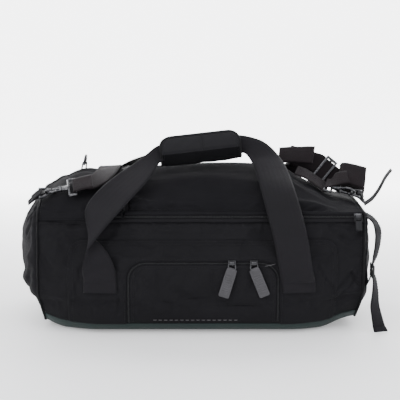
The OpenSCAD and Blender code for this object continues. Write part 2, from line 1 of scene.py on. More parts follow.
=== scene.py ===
import bpy
import json
import math
import numpy as np
from mathutils import Vector, Matrix
from mathutils.bvhtree import BVHTree
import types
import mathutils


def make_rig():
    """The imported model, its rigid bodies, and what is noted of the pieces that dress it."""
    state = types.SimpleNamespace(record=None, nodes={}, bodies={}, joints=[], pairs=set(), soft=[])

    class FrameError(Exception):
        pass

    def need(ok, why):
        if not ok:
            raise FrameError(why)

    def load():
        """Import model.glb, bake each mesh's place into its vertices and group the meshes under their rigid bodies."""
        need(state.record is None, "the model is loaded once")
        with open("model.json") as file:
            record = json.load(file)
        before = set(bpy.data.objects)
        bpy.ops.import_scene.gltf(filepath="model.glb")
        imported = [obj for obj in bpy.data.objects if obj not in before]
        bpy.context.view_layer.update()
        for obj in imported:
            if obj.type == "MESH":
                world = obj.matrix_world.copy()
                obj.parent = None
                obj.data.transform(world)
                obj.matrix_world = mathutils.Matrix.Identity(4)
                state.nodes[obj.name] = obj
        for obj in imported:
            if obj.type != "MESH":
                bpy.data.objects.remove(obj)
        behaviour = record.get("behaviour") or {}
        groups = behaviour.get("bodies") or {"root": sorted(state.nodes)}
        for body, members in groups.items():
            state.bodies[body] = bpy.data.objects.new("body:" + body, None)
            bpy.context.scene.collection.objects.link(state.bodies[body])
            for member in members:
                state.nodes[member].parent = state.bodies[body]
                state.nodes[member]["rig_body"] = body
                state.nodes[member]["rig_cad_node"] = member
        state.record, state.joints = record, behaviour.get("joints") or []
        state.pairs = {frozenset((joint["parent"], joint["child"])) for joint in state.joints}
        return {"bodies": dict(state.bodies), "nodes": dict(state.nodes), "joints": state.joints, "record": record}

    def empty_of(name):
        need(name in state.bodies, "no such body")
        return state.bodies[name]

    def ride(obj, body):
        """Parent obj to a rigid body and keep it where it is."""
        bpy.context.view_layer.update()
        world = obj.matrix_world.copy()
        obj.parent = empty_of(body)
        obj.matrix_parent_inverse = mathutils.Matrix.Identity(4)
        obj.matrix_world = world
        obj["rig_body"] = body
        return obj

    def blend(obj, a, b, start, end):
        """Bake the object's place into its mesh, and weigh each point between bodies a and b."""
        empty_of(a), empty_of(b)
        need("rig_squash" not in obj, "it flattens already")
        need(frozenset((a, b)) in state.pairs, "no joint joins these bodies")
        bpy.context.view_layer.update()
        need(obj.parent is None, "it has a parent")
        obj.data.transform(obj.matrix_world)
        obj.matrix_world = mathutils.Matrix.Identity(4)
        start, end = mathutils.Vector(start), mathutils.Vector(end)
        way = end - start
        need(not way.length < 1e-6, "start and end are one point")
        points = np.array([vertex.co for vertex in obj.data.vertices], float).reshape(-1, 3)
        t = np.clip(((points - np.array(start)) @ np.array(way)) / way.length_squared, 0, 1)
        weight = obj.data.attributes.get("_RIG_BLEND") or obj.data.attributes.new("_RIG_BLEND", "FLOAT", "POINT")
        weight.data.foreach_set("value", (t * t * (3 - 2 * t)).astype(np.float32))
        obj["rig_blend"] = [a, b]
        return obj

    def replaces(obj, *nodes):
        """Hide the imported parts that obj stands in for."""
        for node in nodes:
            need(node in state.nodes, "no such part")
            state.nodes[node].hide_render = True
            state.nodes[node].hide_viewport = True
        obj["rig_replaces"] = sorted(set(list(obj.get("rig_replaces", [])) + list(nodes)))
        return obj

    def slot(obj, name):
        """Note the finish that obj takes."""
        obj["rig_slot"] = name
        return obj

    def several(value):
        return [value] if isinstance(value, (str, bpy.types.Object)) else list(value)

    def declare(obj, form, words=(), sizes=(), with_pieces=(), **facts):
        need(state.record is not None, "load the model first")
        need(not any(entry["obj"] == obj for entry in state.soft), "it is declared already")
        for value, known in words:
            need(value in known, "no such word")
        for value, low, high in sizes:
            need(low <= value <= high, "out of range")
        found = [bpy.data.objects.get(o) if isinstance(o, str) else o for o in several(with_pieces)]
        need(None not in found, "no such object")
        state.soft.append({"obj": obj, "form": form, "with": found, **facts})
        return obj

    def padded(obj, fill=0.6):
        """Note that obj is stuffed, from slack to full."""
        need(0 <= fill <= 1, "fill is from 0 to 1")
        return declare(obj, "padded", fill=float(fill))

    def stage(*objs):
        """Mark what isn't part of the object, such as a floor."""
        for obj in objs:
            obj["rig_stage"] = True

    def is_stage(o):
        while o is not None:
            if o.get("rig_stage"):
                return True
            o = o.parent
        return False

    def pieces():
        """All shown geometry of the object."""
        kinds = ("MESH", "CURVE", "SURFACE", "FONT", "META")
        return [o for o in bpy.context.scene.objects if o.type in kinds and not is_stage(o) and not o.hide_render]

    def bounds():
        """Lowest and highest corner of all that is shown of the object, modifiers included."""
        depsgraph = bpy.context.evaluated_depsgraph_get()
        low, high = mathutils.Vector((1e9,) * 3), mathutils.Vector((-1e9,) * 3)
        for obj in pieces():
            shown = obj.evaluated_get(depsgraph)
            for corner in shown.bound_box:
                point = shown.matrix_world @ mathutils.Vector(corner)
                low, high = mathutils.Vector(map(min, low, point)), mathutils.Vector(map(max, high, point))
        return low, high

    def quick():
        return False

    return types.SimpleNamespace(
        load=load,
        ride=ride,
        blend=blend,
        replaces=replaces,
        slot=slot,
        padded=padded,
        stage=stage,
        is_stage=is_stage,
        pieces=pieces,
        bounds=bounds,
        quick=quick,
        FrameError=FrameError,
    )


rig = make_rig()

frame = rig.load()
_lo, _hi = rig.bounds()
cad_box = [[float(v) for v in _lo], [float(v) for v in _hi]]
scene = bpy.context.scene
rng = np.random.default_rng(11)
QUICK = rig.quick()

# ------------------------------------------------------------------ camera
AZ, EL, DIST = 0.0, math.radians(8.5), 1.8
aim = Vector((0.0078, 0.0, 0.1775))
cam = bpy.data.objects.new("camera", bpy.data.cameras.new("camera"))
scene.collection.objects.link(cam)
cam.location = aim + Vector((0.0, -math.cos(EL), math.sin(EL))) * DIST
cam.rotation_euler = (math.pi / 2 - EL, 0.0, 0.0)
cam.data.lens = 103.8
cam.data.sensor_width = 36.0
cam.data.clip_start = 0.05
scene.camera = cam

# ------------------------------------------------------------------ surface
KEY = np.array([[-60, 0], [-112, 0], [-134, 14], [-143, 55], [-141, 100], [-132, 138],
                [-117, 163], [-109, 175], [-90, 200.9], [-52, 225.9], [0, 238], [52, 229.4],
                [88, 203.5], [109, 175], [117, 163], [132, 138], [141, 100], [143, 55],
                [134, 14], [112, 0], [60, 0]], float)
CROWN = np.array([[-250, 180], [-232, 197], [-215, 209], [-188, 222], [-172, 226], [-148, 226],
                  [-100, 229], [-60, 233], [0, 237], [60, 238], [110, 235], [139, 228], [157, 218.5], [181, 208],
                  [193, 200], [212, 190], [235, 182], [252, 177]], float)
NK = 21
X_L, X_R = -232.0, 250.0
LID0, LID1 = -104.0, 130.0
PZ = 4.12


def sm(a, b, x):
    u = np.clip((np.asarray(x, float) - a) / (b - a), 0, 1)
    return u * u * (3 - 2 * u)


def crown(x):
    x = np.asarray(x, float)
    K = CROWN
    n = len(K)
    i = np.clip(np.searchsorted(K[:, 0], x, side="right") - 1, 0, n - 2)
    sl = np.array([(K[min(n - 1, k + 1), 1] - K[max(0, k - 1), 1]) / (K[min(n - 1, k + 1), 0] - K[max(0, k - 1), 0]) for k in range(n)])
    h = K[i + 1, 0] - K[i, 0]
    u = (x - K[i, 0]) / h
    m0, m1, p0, p1 = sl[i] * h, sl[i + 1] * h, K[i, 1], K[i + 1, 1]
    return p0 + m0 * u + (3 * (p1 - p0) - 2 * m0 - m1) * u * u + (2 * (p0 - p1) + m0 + m1) * u ** 3


def S(x, t):
    x, t = np.broadcast_arrays(np.asarray(x, float), np.asarray(t, float))
    i = np.floor(t).astype(int)
    u = (t - i)[..., None]
    a, b, c, d = (KEY[(i + k) % NK] for k in (-1, 0, 1, 2))
    p = 0.5 * (2 * b + (c - a) * u + (2 * a - 5 * b + 4 * c - d) * u * u + (3 * b - a - 3 * c + d) * u ** 3)
    k = (crown(x) - 175) / 63
    g = 1 - 0.95 * sm(125, 260, abs(x))
    ya = abs(p[..., 0])
    y1 = np.sign(p[..., 0]) * np.where(ya > 117, 117 + (ya - 117) * g, ya)
    bb = 1 - 0.34 * sm(140, 262, abs(x))
    y2 = np.where(p[..., 1] < 55, y1 * (1 - (1 - bb) * (1 - p[..., 1] / 55)), y1)
    z1 = np.where(p[..., 1] > 175, 175 + (p[..., 1] - 175) * k, p[..., 1])
    z2 = np.where(p[..., 1] < 90, z1 + 11 * sm(190, 262, abs(x)) * (1 - p[..., 1] / 90), z1)
    return np.stack([x, y2, z2], -1)


# how far the cloth has moved from the nominal surface, on a grid over x and t
GX = np.linspace(X_L, X_R, 98)
_tt = np.linspace(0, NK, 4201)
_pp = S(0.0, _tt)
_arc = np.concatenate([[0], np.cumsum(np.linalg.norm(np.diff(_pp, axis=0), axis=1))])
NTG = 168
GT = np.interp(np.linspace(0, _arc[-1], NTG + 1)[:-1], _arc, _tt)
DISP = np.zeros((len(GX), NTG, 3))


def disp(x, t):
    x, t = np.broadcast_arrays(np.asarray(x, float), np.asarray(t, float))
    fx = np.clip((x - X_L) / (X_R - X_L) * (len(GX) - 1), 0, len(GX) - 1.0001)
    ext = np.concatenate([GT, [NK]])
    ft = np.interp(np.mod(t, NK), ext, np.arange(NTG + 1))
    i, j = np.floor(fx).astype(int), np.floor(ft).astype(int)
    u, v = (fx - i)[..., None], (ft - j)[..., None]
    u, v = u * u * (3 - 2 * u), v * v * (3 - 2 * v)
    j0, j1 = j % NTG, (j + 1) % NTG
    return ((DISP[i, j0] * (1 - u) + DISP[i + 1, j0] * u) * (1 - v) + (DISP[i, j1] * (1 - u) + DISP[i + 1, j1] * u) * v)


# listed folds: points (x, t), width in mm, depth in mm (negative presses in)
FOLDS = [
    ([(-212, 6.0), (-196, 5.86), (-180, 5.72), (-158, 5.82)], 5.5, -3.2),
    ([(-214, 5.5), (-190, 5.3), (-168, 5.35)], 12, 2.0),
    ([(-99, 7.42), (-82, 7.34), (-66, 7.3)], 3.2, -1.5),
    ([(-50, 7.3), (-36, 7.4), (-22, 7.34), (-6, 7.42), (6, 7.3)], 3.0, -1.4),
    ([(-108, 7.62), (-40, 7.66), (40, 7.6), (104, 7.62)], 6, 1.1),
    ([(168, 7.2), (173, 7.36), (180, 7.5)], 3.4, -2.6),
    ([(160, 7.7), (178, 7.86), (200, 7.8)], 9, 1.6),
    ([(-107, 5.68), (-60, 5.55), (-10, 5.5), (40, 5.56), (78, 5.6)], 6, 1.4),
    ([(-100, 4.75), (-60, 4.6), (-15, 4.5), (30, 4.6), (80, 4.85), (100, 5.15)], 12, -2.2),
    ([(70, 5.1), (92, 4.85), (112, 4.45)], 9, 2.0),
    ([(-120, 5.4), (-134, 5.0), (-144, 4.6)], 6, -2.0),
    ([(212, 3.30), (222, 3.46), (230, 3.72)], 3.0, -2.6),
    ([(230, 3.72), (236, 3.5), (243, 3.3)], 2.6, -2.4),
    ([(226, 3.3), (230, 3.15), (237, 3.2)], 6, 2.2),
    ([(214, 5.1), (224, 4.86), (236, 5.0), (246, 5.5)], 4.0, -2.6),
    ([(210, 5.5), (228, 5.4), (240, 5.7)], 8, 2.2),
    ([(198, 5.74), (212, 5.62), (228, 5.55)], 3.5, -1.6),
    ([(41, 2.9), (45, 2.5), (49, 2.2)], 7, -1.1),
    ([(92, 2.9), (95, 2.5), (98, 2.2)], 7, -1.1),
    ([(-112, 3.3), (-110, 2.8), (-112, 2.3)], 3.0, -1.4),
    ([(-205, 4.6), (-198, 3.9), (-202, 3.2)], 9, 1.8),
    ([(-222, 3.6), (-208, 3.5), (-194, 3.56)], 5, -1.6),
    ([(-218, 2.7), (-206, 2.6), (-196, 2.66)], 5, -1.4),
    ([(-190, 5.15), (-184, 4.9), (-180, 4.6)], 5, 1.6),
    ([(-160, 8.6), (-178, 8.9), (-200, 8.7), (-218, 8.3)], 10, 1.8),
    ([(-150, 9.8), (-170, 10.1), (-196, 10.0)], 7, -2.2),
    ([(-196, 11.2), (-180, 11.6), (-160, 11.5)], 9, -2.4),
    ([(206, 9.0), (190, 9.3), (176, 9.2)], 7, -1.8),
    ([(232, 11.2), (214, 11.4), (196, 11.2)], 9, 2.0),
    ([(-190, 14.8), (-172, 15.3), (-150, 15.0)], 10, -2.4),
    ([(-60, 14.6), (0, 14.2), (60, 14.5)], 12, 2.0),
    ([(-100, 16.4), (-40, 16.6), (40, 16.5), (110, 16.7)], 11, -1.8),
    ([(186, 15.4), (206, 14.9), (228, 15.1)], 8, -2.4),
    ([(-60, 9.1), (-20, 9.35), (40, 9.3), (90, 9.05)], 13, -1.5),
    ([(-70, 11.4), (-10, 11.7), (60, 11.5)], 13, -2.0),
]


def fold_off(x, t):
    """Height of the listed folds at (x, t), in mm."""
    out = np.zeros(np.broadcast(x, t).shape)
    for pts, w, d in FOLDS:
        P = np.array(pts, float)
        P[:, 1] *= 42
        q = np.stack(np.broadcast_arrays(np.asarray(x, float), np.asarray(t, float) * 42.0), -1)
        best = np.full(out.shape, 1e9)
        for a, b in zip(P[:-1], P[1:]):
            ab = b - a
            u = np.clip(((q - a) @ ab) / (ab @ ab), 0, 1)
            best = np.minimum(best, np.linalg.norm(q - (a + u[..., None] * ab), axis=-1))
        r = best / w
        out += d * (np.exp(-r * r) - 0.35 * np.exp(-((r - 1.9) ** 2) * 1.6))
    return out


# places where the cloth is held: it can't move there
def held(x, t):
    x, t = np.broadcast_arrays(np.asarray(x, float), np.asarray(t, float))
    tm = np.mod(t, NK)
    free = np.ones(x.shape)

    def hold(d, w):
        return sm(0.25, 1.0, np.abs(d) / w)
    free *= np.where((tm > 17.75) | (tm < 2.2), 0, 1)
    free *= sm(2.2, 2.8, tm) * sm(17.9, 17.2, tm)
    free *= hold((tm - 6.5) * 20, 16)
    free *= hold((tm - 13.03) * 34, 14)
    free *= sm(0, 7, x - X_L) * sm(0, 7, X_R - x)
    top = sm(6.6, 7.1, tm) * sm(13.4, 12.9, tm)
    for xe in (LID0, LID1):
        free *= 1 - top * (1 - hold(x - xe, 12))
    # under the rings and the long strap's ends
    for cx, ct, rr in ((-174, 10.6, 15), (-236, 8.3, 22), (-205, 8.2, 16), (246, 10.0, 18)):
        free *= 1 - 0.85 * np.exp(-(((x - cx) ** 2 + ((tm - ct) * 40) ** 2) / rr ** 2))
    # the pocket's zip line and the sewn feet of the handles
    inx = sm(-112, -100, x) * sm(138, 124, x)
    free *= 1 - inx * np.exp(-(((tm - PZ) * 45 / 7) ** 2)) * 0.92
    low = sm(4.27, 4.07, tm) * sm(1.9, 2.1, tm)
    for xe in (-96, 121):
        free *= 1 - low * np.exp(-(((x - xe) / 7.0) ** 2)) * 0.9
    for c in (-137, 152):
        free *= 1 - np.exp(-(((x - c) / 30.0) ** 4)) * sm(4.03, 3.68, tm) * sm(2.9, 3.15, tm)
        free *= 1 - np.exp(-(((x - c) / 30.0) ** 4)) * sm(16.2, 16.5, tm) * sm(17.2, 16.9, tm)
    return free


CAP_R = np.concatenate([np.linspace(1, 0.82, 8), np.linspace(0.785, 0.08, 15)])


def cap_grid(side, th=0.0):
    """Rings of an end from its seam to the centre: (rings, NTG, 3)."""
    x0, s, b, dz = (X_L, -1, 39.0, 8.0) if side < 0 else (X_R, 1, 20.0, -2.0)
    p = S(x0, GT)
    r = CAP_R[:, None]
    sag = 1 - 0.75 * sm(70, 20, p[:, 2])[None]
    x = x0 + s * (0.5 + (b - th) * np.power(np.maximum(0, 1 - r * r), 0.72) * (1 - (1 - sag) * sm(0.2, 1, r)))
    w = r - th / 120
    y = p[None, :, 1] * w
    z = 112 + (p[None, :, 2] - 112) * w + dz * (1 - r)
    c = np.array([x0 + s * (0.5 + b - th), 0, 112 + dz])
    return np.stack([x, y, z], -1), c


CAPD = {-1: np.zeros((len(CAP_R), NTG, 3)), 1: np.zeros((len(CAP_R), NTG, 3))}


def link(o):
    scene.collection.objects.link(o)
    return o


def simulate():
    """Lets the sewn cloth settle: seams, zips and base are held, the cloth between them has slack,
    light stuffing pushes it out and its own weight makes it sag and fold."""
    nx, nt = len(GX), NTG
    P = S(GX[:, None], GT[None])
    verts = list(P.reshape(-1, 3))
    base = P.reshape(-1, 3).copy()
    faces = [(i * nt + j, (i + 1) * nt + j, (i + 1) * nt + (j + 1) % nt, i * nt + (j + 1) % nt) for i in range(nx - 1) for j in range(nt)]
    free = held(GX[:, None], GT[None]).reshape(-1)
    cap_at = {}
    for side in (-1, 1):
        C, c = cap_grid(side)
        m = len(CAP_R)
        ring0 = 0 if side < 0 else (nx - 1) * nt
        at = len(verts)
        cap_at[side] = at
        verts += list(C[1:].reshape(-1, 3))
        verts.append(c)
        base = np.vstack([base, C[1:].reshape(-1, 3), c[None]])
        fr = sm(1.0, 0.93, CAP_R[1:])[:, None] * (0.25 + 0.75 * sm(20, 60, C[1:, :, 2]))
        free = np.concatenate([free, fr.reshape(-1), [1.0]])

        def idx(i, j):
            j %= nt
            return ring0 + j if i == 0 else at + (i - 1) * nt + j
        for i in range(m - 1):
            for j in range(nt):
                f = (idx(i, j), idx(i, j + 1), idx(i + 1, j + 1), idx(i + 1, j))
                faces.append(f if side < 0 else f[::-1])
        for j in range(nt):
            f = (idx(m - 1, j), idx(m - 1, j + 1), at + (m - 1) * nt)
            faces.append(f if side < 0 else f[::-1])
    me = bpy.data.meshes.new("cloth_run")
    me.from_pydata([tuple(v * 0.001) for v in base], [], faces)
    o = link(bpy.data.objects.new("cloth_run", me))
    g = o.vertex_groups.new(name="hold")
    for k, w in enumerate(1 - free):
        if w > 0.02:
            g.add([k], float(w), "REPLACE")
    # a faint uneven start so the slack buckles in an irregular way
    rs = np.random.default_rng(5)
    amp = np.zeros(len(base))
    for _ in range(26):
        kvec = rs.normal(size=3)
        kvec /= np.linalg.norm(kvec)
        amp += np.sin(base @ kvec * (2 * math.pi / rs.uniform(28, 90)) + rs.uniform(0, 6.28)) * rs.uniform(0.2, 1)
    nrm = np.zeros(len(base) * 3)
    me.vertices.foreach_get("normal", nrm)
    nrm = nrm.reshape(-1, 3)
    start = base + nrm * (amp * 0.22 * free)[:, None]
    me.vertices.foreach_set("co", (start * 0.001).ravel())
    me.update()
    mod = o.modifiers.new("cloth", "CLOTH")
    s = mod.settings
    s.quality = 5
    s.mass = 0.25
    s.air_damping = 3.0
    s.tension_stiffness = 25
    s.compression_stiffness = 25
    s.shear_stiffness = 8
    s.bending_stiffness = 0.35
    s.tension_damping = 12
    s.compression_damping = 12
    s.shear_damping = 12
    s.bending_damping = 0.8
    s.use_pressure = True
    s.uniform_pressure_force = 2.6
    s.effector_weights.gravity = 0.3
    s.vertex_group_mass = "hold"
    s.pin_stiffness = 1.0
    s.shrink_min = -0.02
    s.shrink_max = -0.02
    mod.collision_settings.use_collision = False
    scene.frame_start, scene.frame_end = 1, 26
    mod.point_cache.frame_start, mod.point_cache.frame_end = 1, 26
    for f in range(1, 27):
        scene.frame_set(f)
    dg = bpy.context.evaluated_depsgraph_get()
    ev = o.evaluated_get(dg)
    co = np.zeros(len(base) * 3)
    ev.data.vertices.foreach_get("co", co)
    d = co.reshape(-1, 3) * 1000 - base
    L = np.linalg.norm(d, axis=1)
    cap = 9.0
    d *= (np.where(L > 0, np.tanh(L / cap) * cap / np.maximum(L, 1e-9), 0) * free)[:, None]
    zt = sm(6.9, 7.6, np.tile(GT, nx)) * sm(13.1, 12.4, np.tile(GT, nx))
    dz = d[:nx * nt, 2]
    d[:nx * nt, 2] = np.where(dz < 0, dz * (1 - zt) + zt * -2.6 * np.tanh(-dz / 2.6), dz)
    DISP[:] = d[:nx * nt].reshape(nx, nt, 3)
    for side in (-1, 1):
        at = cap_at[side]
        m = len(CAP_R)
        CAPD[side][1:] = d[at:at + (m - 1) * nt].reshape(m - 1, nt, 3)
        inw = -CAPD[side][..., 0] * side
        CAPD[side][..., 0] = np.where(inw > 0, -side * 3.2 * np.tanh(inw / 3.2), CAPD[side][..., 0])
        CAPD[side][-1] *= 0.7
        CAPD[side][0] = DISP[0 if side < 0 else -1]
    scene.frame_set(1)
    bpy.data.objects.remove(o)
    bpy.data.meshes.remove(me)
    print("cloth moved mm: mean %.2f max %.2f" % (np.linalg.norm(d, axis=1).mean(), np.linalg.norm(d, axis=1).max()))


if not QUICK:
    simulate()
# the lower corners of the ends are drawn in and up where the base runs out
for _side in (-1, 1):
    _zc = cap_grid(_side)[0][..., 2]
    CAPD[_side][..., 0] -= _side * 7.0 * sm(62, 2, _zc) * sm(0.35, 1.0, CAP_R)[:, None]
    CAPD[_side][..., 2] += 3.0 * sm(40, 2, _zc) * sm(0.35, 1.0, CAP_R)[:, None]
_zs = S(GX[:, None], GT[None])[..., 2]
DISP[..., 0] -= np.sign(GX)[:, None] * 7.0 * sm(62, 2, _zs) * (sm(176, 241, np.abs(GX + 9)))[:, None]
DISP[..., 2] += 3.0 * sm(40, 2, _zs) * (sm(190, 241, np.abs(GX + 9)))[:, None]


def P0(x, t):
    return S(x, t) + disp(x, t)


def NRM(x, t):
    v = np.cross(P0(np.asarray(x) + 1.5, t) - P0(np.asarray(x) - 1.5, t), P0(x, np.asarray(t) + 0.035) - P0(x, np.asarray(t) - 0.035))
    return v / np.maximum(np.linalg.norm(v, axis=-1, keepdims=True), 1e-9)


def O(x, t, o=0.0, folds=True):
    x, t = np.broadcast_arrays(np.asarray(x, float), np.asarray(t, float))
    o = np.asarray(o, float) + (fold_off(x, t) * held(x, t) if folds else 0.0)
    return P0(x, t) + NRM(x, t) * (o[..., None] if np.ndim(o) else o)


def O0(x, t, o):
    """The nominal surface with nothing moved, as in the CAD model."""
    v = np.cross(S(x + 1, t) - S(x - 1, t), S(x, t + .04) - S(x, t - .04))
    return S(x, t) + v / np.linalg.norm(v) * o


# ------------------------------------------------------------------ materials
def nodes_of(name):
    m = bpy.data.materials.new(name)
    m.use_nodes = True
    nt = m.node_tree
    nt.nodes.clear()
    out = nt.nodes.new("ShaderNodeOutputMaterial")
    b = nt.nodes.new("ShaderNodeBsdfPrincipled")
    nt.links.new(b.outputs[0], out.inputs[0])
    return m, nt, b


class NB:
    """Short-hand for building node trees."""

    def __init__(self, nt):
        self.nt = nt

    def new(self, kind, **kw):
        n = self.nt.nodes.new(kind)
        for k, v in kw.items():
            setattr(n, k, v)
        return n

    def link(self, a, b):
        self.nt.links.new(a, b)

    def math(self, op, a, b=None, c=None, clamp=False):
        n = self.new("ShaderNodeMath", operation=op)
        n.use_clamp = clamp
        for i, v in enumerate((a, b, c)):
            if v is None:
                continue
            if isinstance(v, (int, float)):
                n.inputs[i].default_value = v
            else:
                self.link(v, n.inputs[i])
        return n.outputs[0]

    def noise(self, vec, scale, detail=3.0, rough=0.55):
        n = self.new("ShaderNodeTexNoise")
        n.inputs["Scale"].default_value = scale
        n.inputs["Detail"].default_value = detail
        n.inputs["Roughness"].default_value = rough
        self.link(vec, n.inputs["Vector"])
        return n.outputs["Fac"]

    def ramp(self, fac, stops):
        n = self.new("ShaderNodeValToRGB")
        e = n.color_ramp.elements
        while len(e) > 1:
            e.remove(e[-1])
        e[0].position, e[0].color = stops[0][0], (*stops[0][1], 1)
        for p, c in stops[1:]:
            k = e.new(p)
            k.color = (*c, 1)
        self.link(fac, n.inputs[0])
        return n.outputs[0]

    def mix(self, fac, a, b, mode="MIX"):
        n = self.new("ShaderNodeMix", data_type="RGBA", blend_type=mode)
        for sock, v in ((n.inputs[0], fac), (n.inputs[6], a), (n.inputs[7], b)):
            if isinstance(v, (int, float)):
                sock.default_value = v
            elif isinstance(v, tuple):
                sock.default_value = (*v, 1)
            else:
                self.link(v, sock)
        return n.outputs[2]


def cloth(name, col, pitch=0.75, kind="plain", rough=0.72, bump=0.6, sheen=0.18, sheen_rough=0.45, spec=0.3,
          tint=None, uneven=0.5, coat=0.0, coords="uv", lint=0.0):
    """Woven cloth. The yarns run along the piece's own length and width, in mm from its UV map."""
    m, nt, b = nodes_of(name)
    k = NB(nt)
    tc = k.new("ShaderNodeTexCoord")
    sep = k.new("ShaderNodeSeparateXYZ")
    k.link(tc.outputs["UV"], sep.inputs[0])
    u = k.math("MULTIPLY", sep.outputs[0], 1000.0 / pitch)
    v = k.math("MULTIPLY", sep.outputs[1], 1000.0 / pitch)
    wob = k.noise(tc.outputs["Object"], 160.0, 2.0)
    u = k.math("ADD", u, k.math("MULTIPLY", wob, 0.5))
    v = k.math("ADD", v, k.math("MULTIPLY", wob, 0.4))
    if kind == "plain":
        a = k.math("SINE", k.math("MULTIPLY", u, math.pi))
        c = k.math("SINE", k.math("MULTIPLY", v, math.pi))
        over = k.math("MULTIPLY", a, c)
        ridge_u = k.math("ABSOLUTE", a)
        ridge_v = k.math("ABSOLUTE", c)
        h = k.math("ADD", k.math("MULTIPLY", over, 0.5), k.math("MULTIPLY", k.math("ADD", ridge_u, ridge_v), 0.35))
    elif kind == "twill":
        # herringbone webbing: slanted ribs that turn back across the width
        tri = k.math("PINGPONG", k.math("MULTIPLY", v, 1.0), 5.0)
        h = k.math("SINE", k.math("MULTIPLY", k.math("ADD", u, tri), 2.2))
        fine = k.math("SINE", k.math("MULTIPLY", v, 2 * math.pi))
        h = k.math("ADD", k.math("MULTIPLY", h, 0.75), k.math("MULTIPLY", fine, 0.3))
    elif kind == "rib":
        h = k.math("ADD", k.math("SINE", k.math("MULTIPLY", u, 2 * math.pi)), k.math("MULTIPLY", k.math("SINE", k.math("MULTIPLY", v, 2 * math.pi)), 0.3))
    else:
        h = k.noise(tc.outputs["Object"], 900.0, 4.0)
    big = k.noise(tc.outputs["Object"], 9.0, 4.0, 0.6)
    mid = k.noise(tc.outputs["Object"], 55.0, 3.0, 0.55)
    c0 = tuple(x * (1 - 0.28 * uneven) for x in col)
    c1 = tuple(min(1, x * (1 + 0.34 * uneven)) for x in (tint or col))
    colr = k.ramp(k.math("ADD", k.math("MULTIPLY", big, 0.7), k.math("MULTIPLY", mid, 0.3)), [(0.34, c0), (0.66, c1)])
    deep = k.math("MULTIPLY_ADD", h, 0.09 if kind == "twill" else 0.16, 0.93)
    n = k.new("ShaderNodeCombineXYZ")
    for i in range(3):
        k.link(deep, n.inputs[i])
    colr = k.mix(1.0, colr, n.outputs[0], "MULTIPLY")
    if lint > 0:
        fl = k.noise(tc.outputs["Object"], 420.0, 5.0, 0.7)
        fl = k.ramp(fl, [(0.66, (0, 0, 0)), (0.74, (1, 1, 1))])
        colr = k.mix(k.math("MULTIPLY", fl, lint), colr, tuple(min(1, x * 3.2 + 0.02) for x in col))
    k.link(colr, b.inputs["Base Color"])
    k.link(k.math("MULTIPLY_ADD", k.math("ADD", big, mid), 0.16, rough - 0.16), b.inputs["Roughness"])
    b.inputs["Specular IOR Level"].default_value = spec
    b.inputs["Sheen Weight"].default_value = sheen
    b.inputs["Sheen Roughness"].default_value = sheen_rough
    b.inputs["Sheen Tint"].default_value = (0.75, 0.76, 0.8, 1)
    if coat:
        b.inputs["Coat Weight"].default_value = coat
        b.inputs["Coat Roughness"].default_value = 0.35
    bp = k.new("ShaderNodeBump")
    bp.inputs["Strength"].default_value = bump
    bp.inputs["Distance"].default_value = pitch * 0.00035
    k.link(h, bp.inputs["Height"])
    bp2 = k.new("ShaderNodeBump")
    bp2.inputs["Strength"].default_value = 0.5
    bp2.inputs["Distance"].default_value = 0.0009
    soft = k.math("ADD", k.noise(tc.outputs["Object"], 38.0, 3.0, 0.5), k.math("MULTIPLY", k.noise(tc.outputs["Object"], 120.0, 2.0), 0.35))
    k.link(soft, bp2.inputs["Height"])
    k.link(bp.outputs[0], bp2.inputs["Normal"])
    k.link(bp2.outputs[0], b.inputs["Normal"])
    return m


def metal(name, col, rough=0.28, wear=(0.3, 0.3, 0.31), scratch=0.35, metallic=1.0):
    m, nt, b = nodes_of(name)
    k = NB(nt)
    tc = k.new("ShaderNodeTexCoord")
    big = k.noise(tc.outputs["Object"], 60.0, 4.0)
    fine = k.noise(tc.outputs["Object"], 700.0, 3.0, 0.7)
    geo = k.new("ShaderNodeNewGeometry")
    edge = k.ramp(k.math("ADD", geo.outputs["Pointiness"], k.math("MULTIPLY", k.math("SUBTRACT", fine, 0.5), 0.06)), [(0.52, (0, 0, 0)), (0.6, (1, 1, 1))])
    colr = k.ramp(big, [(0.3, tuple(x * 0.8 for x in col)), (0.7, tuple(min(1, x * 1.25) for x in col))])
    colr = k.mix(k.math("MULTIPLY", edge, scratch), colr, wear)
    k.link(colr, b.inputs["Base Color"])
    b.inputs["Metallic"].default_value = metallic
    k.link(k.math("MULTIPLY_ADD", k.math("ADD", big, fine), 0.14, rough - 0.13), b.inputs["Roughness"])
    mp = k.new("ShaderNodeMapping")
    mp.inputs["Scale"].default_value = (1, 14, 14)
    k.link(tc.outputs["Object"], mp.inputs["Vector"])
    sc = k.noise(mp.outputs[0], 300.0, 3.0, 0.6)
    bp = k.new("ShaderNodeBump")
    bp.inputs["Strength"].default_value = 0.25
    bp.inputs["Distance"].default_value = 0.0001
    k.link(k.math("ADD", sc, big), bp.inputs["Height"])
    k.link(bp.outputs[0], b.inputs["Normal"])
    return m


